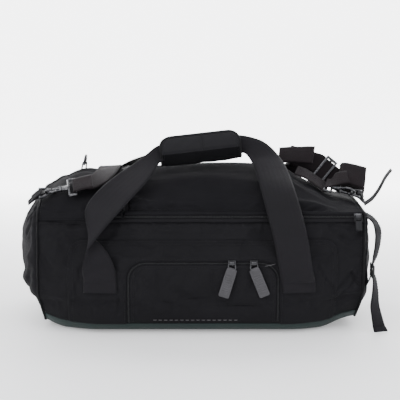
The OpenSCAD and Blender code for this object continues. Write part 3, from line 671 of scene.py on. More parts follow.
def rubber(name, col, rough=0.5, spec=0.4):
    m, nt, b = nodes_of(name)
    k = NB(nt)
    tc = k.new("ShaderNodeTexCoord")
    big = k.noise(tc.outputs["Object"], 70.0, 4.0)
    fine = k.noise(tc.outputs["Object"], 1400.0, 3.0, 0.6)
    geo = k.new("ShaderNodeNewGeometry")
    edge = k.ramp(geo.outputs["Pointiness"], [(0.5, (0, 0, 0)), (0.6, (1, 1, 1))])
    colr = k.ramp(big, [(0.3, tuple(x * 0.84 for x in col)), (0.7, tuple(min(1, x * 1.12) for x in col))])
    colr = k.mix(k.math("MULTIPLY", edge, 0.4), colr, tuple(min(1, x * 1.6 + 0.01) for x in col))
    k.link(colr, b.inputs["Base Color"])
    k.link(k.math("MULTIPLY_ADD", big, 0.2, rough - 0.1), b.inputs["Roughness"])
    b.inputs["Specular IOR Level"].default_value = spec
    bp = k.new("ShaderNodeBump")
    bp.inputs["Strength"].default_value = 0.3
    bp.inputs["Distance"].default_value = 0.00012
    k.link(fine, bp.inputs["Height"])
    k.link(bp.outputs[0], b.inputs["Normal"])
    return m


BLACK = (0.0084, 0.0081, 0.0092)
M_BODY = cloth("body_cloth", BLACK, 0.7, "plain", 0.8, 0.55, 0.006, 0.5, 0.06, uneven=0.5, lint=0.1)
# the body cloth again for the lid and top panels, its colour tuned apart and a touch lighter: painted light on the top
M_SHEEN = cloth("top_cloth_lit_copy", (0.0085, 0.0083, 0.0094), 0.7, "plain", 0.8, 0.5, 0.0, 0.4, 0.03, uneven=0.5, lint=0.08)
M_LINING = cloth("lining_cloth", (0.035, 0.037, 0.041), 0.5, "plain", 0.6, 0.5, 0.1, 0.5, 0.3)
# black coated base cloth with a green tint; the green is a painted reflection, the green cast the base picks up from
# the table
M_BASE = cloth("coated_base", (0.0046, 0.0140, 0.0124), 1.1, "plain", 0.55, 0.4, 0.02, 0.5, 0.3, coat=0.05, uneven=0.5)
M_WEB = cloth("handle_web", (0.0070, 0.0066, 0.0078), 0.62, "twill", 0.76, 0.6, 0.015, 0.45, 0.13, tint=(0.0088, 0.0079, 0.0097), uneven=0.4, lint=0.1)
M_STRAP = cloth("strap_web", (0.0085, 0.0064, 0.0074), 0.62, "twill", 0.76, 0.6, 0.012, 0.45, 0.12, tint=(0.0088, 0.006, 0.007), uneven=0.45, lint=0.1)
M_GRIP = cloth("grip_cloth", (0.0075, 0.0073, 0.0085), 0.6, "plain", 0.74, 0.5, 0.02, 0.4, 0.16, uneven=0.45, lint=0.08)
# darker grip cloth for the lower front band and the inner side: painted shade where the wrap faces down
M_GRIP_SHADE = cloth("grip_painted_shade", (0.0032, 0.0032, 0.0037), 1.3, "plain", 0.85, 1.0, 0.01, 0.6, 0.06, uneven=0.3)
M_TAPE = cloth("zip_tape_cloth", (0.0055, 0.0052, 0.0064), 0.9, "rib", 0.7, 0.7, 0.015, 0.45, 0.16, uneven=0.3)
M_BIND = cloth("binding", (0.0052, 0.005, 0.0058), 0.8, "rib", 0.7, 0.7, 0.02, 0.4, 0.16, uneven=0.3)
M_THREAD = cloth("thread", (0.0062, 0.006, 0.007), 0.35, "rib", 0.65, 0.6, 0.02, 0.4, 0.16, uneven=0.3)
# light thread for the contrast stitches; also used for a painted highlight on the pocket zip
M_LIGHT = cloth("contrast_thread_and_painted_highlight", (0.12, 0.115, 0.12), 0.35, "rib", 0.6, 0.8, 0.1, 0.3, 0.3, uneven=0.4)
M_COIL = rubber("zip_coil", (0.0065, 0.0065, 0.0075), 0.42, 0.3)
M_STEEL = metal("black_nickel", (0.045, 0.045, 0.048), 0.3)
M_STEEL2 = metal("nickel_bright", (0.06, 0.06, 0.063), 0.27)
M_SLIDER = metal("slider_metal", (0.03, 0.03, 0.032), 0.36)
M_PULL = rubber("pull_grey", (0.045, 0.0435, 0.047), 0.6, 0.25)
M_PULLD = rubber("pull_dark", (0.006, 0.006, 0.007), 0.55, 0.15)
M_PLASTIC = rubber("buckle_plastic", (0.007, 0.007, 0.008), 0.45, 0.3)
M_CUT = cloth("cut_edge", (0.015, 0.0135, 0.015), 0.4, "rib", 0.8, 0.9, 0.03, 0.4, 0.3)


# ------------------------------------------------------------------ mesh helpers
def make(name, V, F, mats, uv=None, mat_idx=None, smooth=True):
    """V in mm; uv per vertex in mm."""
    me = bpy.data.meshes.new(name)
    me.from_pydata([tuple(p) for p in (np.asarray(V, float) * 0.001)], [], F)
    for m in (mats if isinstance(mats, (list, tuple)) else [mats]):
        me.materials.append(m)
    if uv is not None:
        lay = me.uv_layers.new(name="UVMap")
        li = np.zeros(len(me.loops), int)
        me.loops.foreach_get("vertex_index", li)
        lay.data.foreach_set("uv", (np.asarray(uv, float)[li] * 0.001).ravel())
    if mat_idx is not None:
        me.polygons.foreach_set("material_index", np.asarray(mat_idx, np.int32))
    if smooth:
        me.polygons.foreach_set("use_smooth", np.ones(len(me.polygons), bool))
    me.validate()
    me.update()
    return link(bpy.data.objects.new(name, me))


def done(o, body, slot_name, *gone):
    if body:
        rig.ride(o, body)
    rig.slot(o, slot_name)
    if gone:
        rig.replaces(o, *gone)
    return o


def shell(name, OUT, INN, UV, mats, mask=None, flip=False):
    """A thin solid between two grids (m, n, 3). mask (m-1, n-1) leaves cells out."""
    m, n = OUT.shape[:2]
    K = m * n
    V = np.vstack([OUT.reshape(-1, 3), INN.reshape(-1, 3)])
    uv = np.vstack([UV.reshape(-1, 2)] * 2)
    keep = np.ones((m - 1, n - 1), bool) if mask is None else mask
    F, mi, edges = [], [], {}
    for i in range(m - 1):
        for j in range(n - 1):
            if not keep[i, j]:
                continue
            q = (i * n + j, (i + 1) * n + j, (i + 1) * n + j + 1, i * n + j + 1)
            F.append(q)
            mi.append(0)
            F.append(tuple(K + a for a in q[::-1]))
            mi.append(1)
            for a, b in zip(q, q[1:] + q[:1]):
                edges[(a, b)] = edges.get((a, b), 0) + 1
    for (a, b) in edges:
        if (b, a) not in edges:
            F.append((b, a, K + a, K + b))
            mi.append(0)
    o = make(name, V, F, mats, uv, mi)
    return o


def fixn(o):
    bpy.context.view_layer.objects.active = o
    import bmesh
    bm = bmesh.new()
    bm.from_mesh(o.data)
    bmesh.ops.recalc_face_normals(bm, faces=bm.faces)
    bm.to_mesh(o.data)
    bm.free()
    return o


def arclen(P):
    d = np.linalg.norm(np.diff(P, axis=0), axis=1)
    return np.concatenate([[0], np.cumsum(d)])


def wave(s, seed, lam=11.0):
    r = np.random.default_rng(seed)
    return 0.55 * np.sin(2 * math.pi * s / lam + r.uniform(0, 6)) + 0.45 * np.sin(2 * math.pi * s / (lam * 0.63) + r.uniform(0, 6)) + 0.35 * np.sin(2 * math.pi * s / (lam * 2.3) + r.uniform(0, 6))


def seam(d, s, seed, depth=1.3, pucker=0.45, lam=11.0, reach=9.0, lip=2.4):
    """Height near a sewn edge at distance d (mm) along it at s: it turns in, with puckers."""
    return -depth * np.exp(-(np.maximum(d, 0) / lip) ** 2) + pucker * wave(s, seed, lam) * np.exp(-np.maximum(d, 0) / reach) * sm(0, 2.5, d)


def panel(name, x0, x1, t0, t1, base, th, mats, nx, nt, seams=(1, 1, 1, 1), extra=None, seed=1, xs=None, ts=None, hole=None, t1f=None):
    """A sewn panel over the surface. seams: depth at x0, x1, t0, t1."""
    xs = np.linspace(x0, x1, nx) if xs is None else np.asarray(xs, float)
    ts = np.linspace(t0, t1, nt) if ts is None else np.asarray(ts, float)
    X = np.repeat(xs[:, None], len(ts), 1)
    T = np.repeat(ts[None], len(xs), 0)
    if t1f is not None:
        T = t0 + (T - t0) / (t1 - t0) * (t1f(X) - t0)
    A = O(X, T, 0.0)
    arc = np.concatenate([np.zeros((len(xs), 1)), np.cumsum(np.linalg.norm(np.diff(A, axis=1), axis=2), axis=1)], 1)
    dx0, dx1 = X - x0, x1 - X
    dt0, dt1 = arc, arc[:, -1:] - arc
    off = np.full(X.shape, float(base))
    for i, (d, s) in enumerate(((dx0, arc), (dx1, arc), (dt0, X), (dt1, X))):
        if seams[i]:
            off = off + seam(d, s, seed * 7 + i, 1.2 * seams[i], 0.42 * min(1, seams[i]))
    if extra is not None:
        off = off + extra(X, T, arc)
    OUT = O(X, T, off)
    INN = O(X, T, off - th)
    mask = None
    if hole is not None:
        xm, tm = (xs[:-1] + xs[1:]) / 2, (ts[:-1] + ts[1:]) / 2
        mask = ~hole(xm[:, None], tm[None])
    UV = np.stack([X, arc + ts[0] * 40], -1)
    return shell(name, OUT, INN, UV, mats, mask)


class Stitches:
    """Collects stitches and makes one mesh of them."""

    def __init__(self):
        self.V, self.F, self.n, self.uv = [], [], 0, []

    def run(self, pts, nrm, length=3.0, gap=1.3, r=0.32):
        pts, nrm = np.asarray(pts, float), np.asarray(nrm, float)
        s = arclen(pts)
        k = int(s[-1] // (length + gap))
        if k < 1:
            return
        step = s[-1] / k
        for i in range(k):
            a, b = i * step + gap / 2, (i + 1) * step - gap / 2
            q = [np.array([np.interp(v, s, pts[:, c]) for c in range(3)]) for v in (a, (a + b) / 2, b)]
            nn = np.array([np.interp((a + b) / 2, s, nrm[:, c]) for c in range(3)])
            nn /= max(np.linalg.norm(nn), 1e-9)
            d = q[2] - q[0]
            L = np.linalg.norm(d)
            if L < 0.3:
                continue
            d /= L
            w = np.cross(nn, d)
            w /= max(np.linalg.norm(w), 1e-9)
            rings = []
            for f, rr, up in ((0, 0.45, -0.25), (0.18, 0.9, 0.12), (0.5, 1.0, 0.25), (0.82, 0.9, 0.12), (1, 0.45, -0.25)):
                c = q[0] * (1 - f) + q[2] * f + nn * (up * r + 0.1)
                if 0.1 < f < 0.9:
                    c = c + (q[1] - (q[0] + q[2]) / 2) * (1 - abs(2 * f - 1))
                rings.append([c + (w * math.cos(g) + nn * math.sin(g)) * r * rr for g in np.arange(6) * math.pi / 3])
            b0 = self.n
            for ring in rings:
                self.V += ring
                self.uv += [(0, 0)] * 6
            self.n += 30
            for a1 in range(4):
                for j in range(6):
                    self.F.append((b0 + a1 * 6 + j, b0 + a1 * 6 + (j + 1) % 6, b0 + (a1 + 1) * 6 + (j + 1) % 6, b0 + (a1 + 1) * 6 + j))
            self.F.append(tuple(b0 + j for j in range(5, -1, -1)))
            self.F.append(tuple(b0 + 24 + j for j in range(6)))

    def on(self, xt, off, **kw):
        """A line of stitches along (x, t) points on the surface."""
        xt = np.asarray(xt, float)
        o = off(xt[:, 0], xt[:, 1]) if callable(off) else off
        self.run(O(xt[:, 0], xt[:, 1], o), NRM(xt[:, 0], xt[:, 1]), **kw)

    def make(self, name, mat):
        V = np.array(self.V)
        uv = V[:, :2] * 1.0
        return make(name, V, self.F, mat, uv)


def line(a, b, n=60):
    return np.stack([np.linspace(a[0], b[0], n), np.linspace(a[1], b[1], n)], 1)


def sta(E, v):
    n = len(E) - 1
    i = int(min(n - 1, math.floor(v)))
    u = v - i
    out = []
    for s in (0, 1):
        a, b, c, d = (np.asarray(E[k][s], float) for k in (max(0, i - 1), i, i + 1, min(n, i + 2)))
        out.append(0.5 * (2 * b + (c - a) * u + (2 * a - 5 * b + 4 * c - d) * u * u + (3 * b - a - 3 * c + d) * u ** 3))
    return out


def web(name, E, th, mat, per=10, across=14, shape=None, lift=None, cut=(True, True), edge=0.5, wobble=0.0, seed=3):
    """Flat webbing along stations [one edge, other edge]. Returns the object and a function for points on it."""
    n = (len(E) - 1) * per
    Q = np.array([sta(E, i / per) for i in range(n + 1)])     # (n+1, 2, 3)
    A, B = Q[:, 0], Q[:, 1]
    mid = (A + B) / 2
    s = arclen(mid)
    w = np.linalg.norm(B - A, axis=1)
    tang = np.gradient(mid, axis=0)
    nn = np.cross(tang, B - A)
    nn /= np.maximum(np.linalg.norm(nn, axis=1, keepdims=True), 1e-9)
    v = np.linspace(0, 1, across + 1)
    C = A[:, None] * (1 - v[None, :, None]) + B[:, None] * v[None, :, None]
    r = np.random.default_rng(seed)
    bend = np.zeros((n + 1, across + 1))
    if shape is not None:
        bend = bend + shape(s[:, None] / s[-1], v[None])
    if wobble:
        bend = bend + wobble * (np.sin(s[:, None] / 23 + r.uniform(0, 6)) * (2 * v[None] - 1) + 0.6 * np.sin(s[:, None] / 41 + r.uniform(0, 6)))
    C = C + nn[:, None] * bend[..., None]
    if lift is not None:
        C = lift(C, nn, s)
    half = th / 2 * np.power(np.maximum(0, 1 - np.abs(2 * v - 1) ** 10), 0.5) * (1 - 0.0 * v)
    rib = 0.12 * np.exp(-((np.minimum(v, 1 - v) * w.mean() - 1.2) / 0.9) ** 2)
    h = (half + rib * (half > 0))[None, :, None]
    top, bot = C + nn[:, None] * h, C - nn[:, None] * h
    ring = np.concatenate([top, bot[:, -2:0:-1]], 1)          # closed loop per station
    m = ring.shape[1]
    u = np.repeat(s[:, None], m, 1)
    vv = np.concatenate([v * w.mean(), v[-2:0:-1] * w.mean()])[None].repeat(n + 1, 0)
    V = ring.reshape(-1, 3)
    UV = np.stack([u, vv], -1).reshape(-1, 2)
    F = [(i * m + j, i * m + (j + 1) % m, (i + 1) * m + (j + 1) % m, (i + 1) * m + j) for i in range(n) for j in range(m)]
    mi = [0] * len(F)
    for i0, rev in ((0, True), (n, False)):
        for j in range(across // 1):
            a, b_ = i0 * m + j, i0 * m + j + 1
            c = i0 * m + (m - j - 1) % m if j + 1 < across else i0 * m + across
            # the end is closed by the one face below
        loop = [i0 * m + j for j in range(m)]
        F.append(tuple(loop[::-1] if not rev else loop))
        mi.append(1)
    o = make(name, V, F, [mat, M_CUT], UV, mi)
    fixn(o)

    def pt(fs, fv, up=0.0):
        """Point and normal on the top face at length share fs and width share fv."""
        i = fs * n
        i0 = int(min(n - 1, max(0, math.floor(i))))
        g = i - i0
        j = fv * across
        j0 = int(min(across - 1, max(0, math.floor(j))))
        e = j - j0
        p = ((C[i0, j0] * (1 - g) + C[i0 + 1, j0] * g) * (1 - e) + (C[i0, j0 + 1] * (1 - g) + C[i0 + 1, j0 + 1] * g) * e)
        q = nn[i0] * (1 - g) + nn[i0 + 1] * g
        q = q / np.linalg.norm(q)
        return p + q * (th / 2 + up), q, s[-1]
    return o, pt, s, C, nn


# ------------------------------------------------------------------ body panels
BM = [M_BODY, M_LINING]
AZ_R = 25.0


def arch_top(x, x0, x1, z_t, r):
    d = np.minimum(x - x0, x1 - x)
    drop = np.where(d < r, r - np.sqrt(np.maximum(0, r * r - (r - np.clip(d, 0, r)) ** 2)), 0)
    return z_t - drop / 45


def arch_path(x0, x1, t0, z_t, r, step=1.2):
    """The pocket's outline as (x, t) points, up the left side, over the top, down the right."""
    pts = [(x0, t) for t in np.arange(t0, z_t - r / 45, step / 45)]
    for a in np.arange(0, 90.1, 90 / max(4, int(r * 1.57 / step))):
        g = math.radians(a)
        pts.append((x0 + r - r * math.cos(g), z_t - r / 45 + r / 45 * math.sin(g)))
    pts += [(x, z_t) for x in np.arange(x0 + r + step, x1 - r, step)]
    for a in np.arange(90, -0.1, -90 / max(4, int(r * 1.57 / step))):
        g = math.radians(a)
        pts.append((x1 - r + r * math.cos(g), z_t - r / 45 + r / 45 * math.sin(g)))
    pts += [(x1, t) for t in np.arange(z_t - r / 45 - step / 45, t0, -step / 45)]
    return np.array(pts)


def path_dist(X, T, path):
    q = np.stack([X, T * 45], -1)
    p = path * np.array([1, 45.0])
    best = np.full(X.shape, 1e9)
    near = np.zeros(X.shape + (2,))
    for k in range(0, len(p) - 1):
        a, b = p[k], p[k + 1]
        ab = b - a
        u = np.clip(((q - a) @ ab) / max(ab @ ab, 1e-9), 0, 1)
        c = a + u[..., None] * ab
        d = np.linalg.norm(q - c, axis=-1)
        m = d < best
        best = np.where(m, d, best)
        near = np.where(m[..., None], c, near)
    return best, near / np.array([1, 45.0])


def uniq(*parts):
    v = np.unique(np.round(np.concatenate([np.atleast_1d(p) for p in parts]), 5))
    keep = [v[0]]
    fixed = set(np.round(np.concatenate([np.atleast_1d(p) for p in parts if np.size(p) == 1]), 5)) if any(np.size(p) == 1 for p in parts) else set()
    gap = np.median(np.diff(v)) * 0.35
    for a in v[1:]:
        if a - keep[-1] > gap:
            keep.append(a)
        elif a in fixed:
            keep[-1] = a
    return np.array(keep)


base_o = panel("base", X_L, X_R, 18.02, 22.98, 0.0, 2.6, [M_BASE, M_LINING], 150, 70, seams=(0.5, 0.5, 0.45, 0.45), seed=1)
done(base_o, "root", "coated_base", "base_panel")

fx = uniq(np.linspace(X_L, X_R, 190), -97.0, 122.0)
ft = uniq(np.linspace(2.01, 6.03, 74), 2.2, 4.163)
front_o = panel("front", X_L, X_R, 2.01, 6.03, 0.0, 2.4, BM, 0, 0, xs=fx, ts=ft, seams=(1, 1, 0.8, 1.1), seed=2,
                hole=lambda x, t: (x > -97) & (x < 122) & (t > 2.2) & (t < 4.163))
done(front_o, "root", "body_fabric", "front_panel")

back_o = panel("back", X_L, X_R, 13.06, 17.98, 0.0, 2.4, BM, 170, 74, seams=(1, 1, 1, 0.8), seed=3)
done(back_o, "root", "body_fabric", "back_panel")
tl1 = panel("top_left_a", X_L, -131, 6.05, 12.96, 0.0, 2.4, [M_SHEEN, M_LINING], 44, 96, seams=(1, 0, 1.1, 1), seed=4)
tl2 = panel("top_left_b", -131, LID0 - 6.2, 7.02, 12.96, 0.0, 2.4, [M_SHEEN, M_LINING], 12, 84, seams=(0, 1, 1, 1), seed=5)
done(tl1, "root", "body_fabric", "top_left_panel")
done(tl2, "root", "body_fabric")
tr = panel("top_right", LID1 + 6.2, X_R, 7.02, 12.96, 0.0, 2.4, [M_SHEEN, M_LINING], 50, 84, seams=(1, 1, 1, 1), seed=6)
done(tr, "root", "body_fabric", "top_right_panel")
lid_o = panel("lid", LID0 + 5.4, LID1 - 5.4, 7.02, 12.97, 0.0, 2.4, [M_SHEEN, M_LINING], 96, 96, seams=(1, 1, 1.1, 1), seed=7)
done(lid_o, "lid", "body_fabric", "lid_panel")

# bound seams inside, and the tape that joins the lid to the back and folds as it opens


def inner_tape(name, x0, x1, t0, t1, o0, o1):
    X = np.repeat(np.linspace(x0, x1, 110)[:, None], 9, 1)
    T = np.repeat(np.linspace(t0, t1, 9)[None], 110, 0)
    return shell(name, O(X, T, o0), O(X, T, o1), np.stack([X, T * 40], -1), [M_TAPE, M_TAPE])


done(inner_tape("seam_tape_back", X_L + 2, X_R - 2, 17.8, 18.2, -1.3, -3.1), "root", "zip_tape")
done(inner_tape("seam_tape_front", X_L + 2, X_R - 2, 22.8, 23.14, -1.3, -3.1), "root", "zip_tape")
hinge_t = inner_tape("lid_hinge_tape", LID0 + 3, LID1 - 3, 12.78, 13.24, -1.0, -2.0)
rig.blend(hinge_t, "root", "lid", start=tuple(S(13.0, 13.12) * 0.001), end=tuple(S(13.0, 12.93) * 0.001))
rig.slot(hinge_t, "zip_tape")

# front overlay: a second layer with rounded top corners and a hole for the pocket
OV_T = 5.06


def ov_top(x):
    e = np.minimum(x + 186, 210 - x)
    return OV_T - np.where(e < 24, (24 - np.sqrt(np.maximum(0, 24 * 24 - (24 - np.clip(e, 0, 24)) ** 2))) / 42, 0)


hole_path = arch_path(-98.6, 123.6, 2.0, PZ + 2.6 / 45, 27.6)
ox = np.linspace(0, 1, 178)
ox = -186 + 396 * (ox - 0.028 * np.sin(2 * math.pi * ox))
ot = np.linspace(2.04, OV_T, 60)
OX = np.repeat(ox[:, None], len(ot), 1)
OT = np.repeat(ot[None], len(ox), 0)
OT = np.where(OT > 4.25, 4.25 + (OT - 4.25) / (OV_T - 4.25) * (ov_top(OX) - 4.25), OT)
low_c = ov_top(OX) < 4.4
OT = np.where(low_c, 2.04 + (ot[None] - 2.04) / (OV_T - 2.04) * (ov_top(OX) - 2.04), OT)
cx, ct = (OX[:-1, :-1] + OX[1:, 1:]) / 2, (OT[:-1, :-1] + OT[1:, 1:]) / 2
inside = (cx > -98.6) & (cx < 123.6) & (ct < arch_top(cx, -98.6, 123.6, PZ + 2.6 / 45, 27.6))
near_c = np.zeros(OX.shape, int)
near_k = np.zeros(OX.shape, int)
for di in (0, 1):
    for dj in (0, 1):
        near_c[di:OX.shape[0] - 1 + di, dj:OX.shape[1] - 1 + dj] += inside
        near_k[di:OX.shape[0] - 1 + di, dj:OX.shape[1] - 1 + dj] += ~inside
rimv = (near_c > 0) & (near_k > 0)
dist_h, snap = path_dist(OX, OT, hole_path)
low_row = np.arange(OX.shape[1])[None] == 0
OX = np.where(rimv, snap[..., 0], OX)
OT = np.where(rimv & ~low_row, snap[..., 1], OT)
dist_h, _ = path_dist(OX, OT, hole_path)
edge_l, edge_r = OX + 186, 210 - OX
edge_t = (ov_top(OX) - OT) * 42
side_e = np.minimum(edge_l, edge_r)
corner = np.minimum(np.where(side_e < 24, np.minimum(side_e, edge_t), edge_t), side_e)
off = 2.1 + seam(corner, OX + OT * 42, 71, 0.9, 0.4, 12, 8, 2.0) + seam(dist_h, OX * 1.0 + OT * 45, 72, 0.9, 0.3, 9, 7, 1.6) + 0.55 * np.exp(-((dist_h - 3.2) / 1.8) ** 2)
arc_o = np.concatenate([np.zeros((len(ox), 1)), np.cumsum(np.linalg.norm(np.diff(O(OX, OT, 0.0), axis=1), axis=2), axis=1)], 1)
over_o = shell("front_overlay_cloth", O(OX, OT, off), O(OX, OT, np.minimum(off - 1.2, 0.7)), np.stack([OX, arc_o + 80], -1), BM, ~inside)
done(over_o, "root", "body_fabric", "front_overlay")

# ------------------------------------------------------------------ end caps


CAP_FOLDS = {
    -1: [([(-92, 196), (-98, 178), (-84, 160)], 3.0, -2.4), ([(-98, 178), (-104, 158), (-92, 142)], 3.4, -2.4),
         ([(-60, 214), (-50, 190), (-56, 168)], 9, 1.8), ([(-106, 128), (-70, 122), (-30, 130)], 8, -1.8),
         ([(-84, 60), (-62, 42), (-30, 36)], 8, -2.6), ([(-88, 76), (-60, 66), (-20, 62)], 9, 2.0),
         ([(-98, 100), (-84, 70), (-86, 40)], 5, -1.6), ([(60, 206), (72, 180), (62, 150)], 7, -2.2),
         ([(30, 60), (64, 46), (90, 60)], 8, -2.2), ([(96, 120), (70, 110), (34, 118)], 9, 1.8),
         ([(10, 200), (-6, 170), (6, 140)], 11, -1.6)],
    1: [([(-100, 80), (-84, 60), (-96, 40)], 4.0, -2.6), ([(-96, 150), (-60, 140), (-20, 150)], 8, -2.2),
        ([(-70, 50), (-30, 38), (20, 44)], 9, -2.2), ([(40, 150), (70, 130), (92, 140)], 8, 1.8),
        ([(60, 60), (84, 48), (96, 70)], 6, -2.2), ([(-60, 100), (-20, 92), (30, 100)], 12, 1.8)],
}


def cap_piece(side):
    C, c = cap_grid(side)
    C = C + CAPD[side]
    m, nt = C.shape[:2]
    # a finer set of points: twice as many round and along
    ks = 2
    R = []
    for f in np.linspace(0, m - 1, (m - 1) * ks + 1):
        i = int(min(m - 2, math.floor(f)))
        g = f - i
        row = C[i] * (1 - g) + C[i + 1] * g
        fine = np.empty((nt * ks, 3))
        fine[::2] = row
        fine[1::2] = (row + np.roll(row, -1, 0)) / 2
        R.append(fine)
    R = np.array(R)
    for _ in range(2):                      # even out the doubled points
        R[1:-1] = (R[1:-1] * 2 + R[:-2] + R[2:]) / 4
        R = (R * 2 + np.roll(R, 1, 1) + np.roll(R, -1, 1)) / 4 if _ == 0 else R
    c = c + CAPD[side][-1].mean(0)
    M, N_ = R.shape[:2]
    dr = np.gradient(R, axis=0)
    dt = np.roll(R, -1, 1) - np.roll(R, 1, 1)
    nn = np.cross(dt, dr) * (1 if side > 0 else -1)
    nn /= np.maximum(np.linalg.norm(nn, axis=-1, keepdims=True), 1e-9)
    if (nn[..., 0].mean() < 0) != (side < 0):
        nn = -nn
    ring = arclen(np.vstack([R[0], R[0][:1]]))[:-1]
    d = np.concatenate([[0], np.cumsum(np.linalg.norm(np.diff(R, axis=0), axis=2).mean(1))])
    off = seam(np.repeat(d[:, None], N_, 1), np.repeat(ring[None], M, 0), 31 + side, 1.3, 0.6, 12, 10, 2.4)
    yz = R[..., 1:]
    front = np.ones(yz.shape[:2])
    for pts, w, dep in CAP_FOLDS[side]:
        P = np.array(pts, float)
        best = np.full(yz.shape[:2], 1e9)
        for a, b in zip(P[:-1], P[1:]):
            ab = b - a
            u = np.clip(((yz - a) @ ab) / (ab @ ab), 0, 1)
            best = np.minimum(best, np.linalg.norm(yz - (a + u[..., None] * ab), axis=-1))
        r = best / w
        off = off + dep * (np.exp(-r * r) - 0.35 * np.exp(-((r - 1.9) ** 2) * 1.6)) * sm(0, 6, d)[:, None]
    # radial puckers that run in from the seam
    off = off + 0.55 * wave(ring, 60 + side, 26)[None] * np.exp(-d / 26)[:, None] * sm(0, 5, d)[:, None]
    OUT, INN = R + nn * off[..., None], R + nn * (off - 2.4)[..., None]
    pc_out, pc_in = c + np.array([side * off[-1].mean(), 0, 0]), c - np.array([side * 2.4, 0, 0])
    V = np.vstack([OUT.reshape(-1, 3), INN.reshape(-1, 3), pc_out, pc_in])
    K = M * N_
    F, mi = [], []
    for i in range(M - 1):
        for j in range(N_):
            j2 = (j + 1) % N_
            F.append((i * N_ + j, i * N_ + j2, (i + 1) * N_ + j2, (i + 1) * N_ + j))
            mi.append(0)
            F.append((K + i * N_ + j, K + (i + 1) * N_ + j, K + (i + 1) * N_ + j2, K + i * N_ + j2))
            mi.append(1)
    for j in range(N_):
        j2 = (j + 1) % N_
        F += [(j, K + j, K + j2, j2), ((M - 1) * N_ + j, (M - 1) * N_ + j2, 2 * K), (K + (M - 1) * N_ + j2, K + (M - 1) * N_ + j, 2 * K + 1)]
        mi += [0, 0, 1]
    uv = V[:, 1:3]
    o = make("end_left" if side < 0 else "end_right", V, F, BM, uv, mi)
    fixn(o)
    done(o, "root", "body_fabric", "left_end_cap" if side < 0 else "right_end_cap")
    return OUT, nn


capL, capLn = cap_piece(-1)
capR, capRn = cap_piece(1)


# ------------------------------------------------------------------ tubes
def tube(name, path, r, mat, closed=False, sides=10, rf=None, flat=None):
    P = np.asarray(path, float)
    n = len(P)
    tg = (np.roll(P, -1, 0) - np.roll(P, 1, 0)) if closed else np.gradient(P, axis=0)
    tg /= np.maximum(np.linalg.norm(tg, axis=1, keepdims=True), 1e-9)
    u = np.cross(tg[0], [0.13, 0.31, 0.94])
    u /= np.linalg.norm(u)
    U = []
    for k in range(n):
        u = u - tg[k] * (u @ tg[k])
        u /= np.linalg.norm(u)
        U.append(u.copy())
    U = np.array(U)
    if closed:                       # spread the leftover twist
        w = np.cross(tg[0], U[0])
        ue = U[-1] - tg[0] * (U[-1] @ tg[0])
        tw = math.atan2(ue @ w, ue @ U[0])
        for k in range(n):
            a = -tw * k / n
            U[k] = U[k] * math.cos(a) + np.cross(tg[k], U[k]) * math.sin(a)
    W = np.cross(tg, U)
    rr = np.full(n, float(r)) if rf is None else np.array([rf(k / (n - 1)) for k in range(n)])
    g = np.arange(sides) * 2 * math.pi / sides
    ring = P[:, None] + (U[:, None] * np.cos(g)[None, :, None] + W[:, None] * np.sin(g)[None, :, None]) * rr[:, None, None]
    s = arclen(P)
    uv = np.stack([np.repeat(s[:, None], sides, 1), np.repeat((g * r)[None], n, 0)], -1).reshape(-1, 2)
    F = []
    for i in range(n if closed else n - 1):
        i2 = (i + 1) % n
        for j in range(sides):
            j2 = (j + 1) % sides
            F.append((i * sides + j, i * sides + j2, i2 * sides + j2, i2 * sides + j))
    if not closed:
        F += [tuple(range(sides - 1, -1, -1)), tuple((n - 1) * sides + j for j in range(sides))]
    o = make(name, ring.reshape(-1, 3), F, mat, uv)
    return fixn(o)


for side, xs_, nm in ((-1, X_L + 1.4, "left_piping"), (1, X_R - 1.4, "right_piping")):
    tt = np.interp(np.linspace(0, _arc[-1], 321)[:-1], _arc, _tt)
    P = O(np.full(tt.shape, xs_), tt, 0.9)
    P[:, 2] = np.maximum(P[:, 2], 1.9)
    o = tube(nm + "_cord", P, 1.55, M_BIND, True, 8)
    done(o, "root", "piping", nm)

ST = Stitches()          # stitches on root
STL = Stitches()         # on the lid
STF = Stitches()         # on the pocket flap


def bar(col, p, q, nn, r):
    """One coil element between two points."""
    col.run(np.array([p, (np.asarray(p) + q) / 2, q]), np.array([nn, nn, nn]), length=float(np.linalg.norm(np.asarray(q) - p)) * 0.999 - 1e-3, gap=0.0, r=r)


# top-stitching beside every seam
for (x0, x1, t, off_mm, col) in ((X_L + 4, X_R - 4, 2.11, 0.25, ST), (X_L + 4, X_R - 4, 5.86, 0.25, ST), (LID0 + 9, LID1 - 9, 7.2, 0.25, STL),
                                 (X_L + 4, LID0 - 10, 7.2 if False else 6.2, 0.25, None), (LID1 + 10, X_R - 4, 7.2, 0.25, ST),
                                 (X_L + 4, X_R - 4, 13.22, 0.25, ST), (X_L + 4, X_R - 4, 17.86, 0.25, ST)):
    if col is None:
        continue
    L = line((x0, t), (x1, t), 200)
    col.on(L, off_mm)
ST.on(line((X_L + 4, 6.18), (-134, 6.18), 60), 0.25)
for t in (7.2, 12.82):
    ST.on(line((LID1 + 10, t), (X_R - 4, t), 60), 0.25)
    ST.on(line((-128 if t < 8 else X_L + 4, t), (LID0 - 10, t), 60), 0.25)
STL.on(line((LID0 + 9, 12.82), (LID1 - 9, 12.82), 120), 0.25)
for xe, c in ((LID0 - 9.6, ST), (LID1 + 9.6, ST), (LID0 + 9, STL), (LID1 - 9, STL)):
    c.on(line((xe, 7.3), (xe, 12.7), 160), 0.25)
for xe in (X_L + 5.5, X_R - 5.5):
    ST.on(line((xe, 2.1), (xe, 5.85), 120), 0.25)
    ST.on(line((xe, 6.3 if xe < 0 else 7.3), (xe, 12.7), 140), 0.25)
    ST.on(line((xe, 13.3), (xe, 17.8), 120), 0.25)
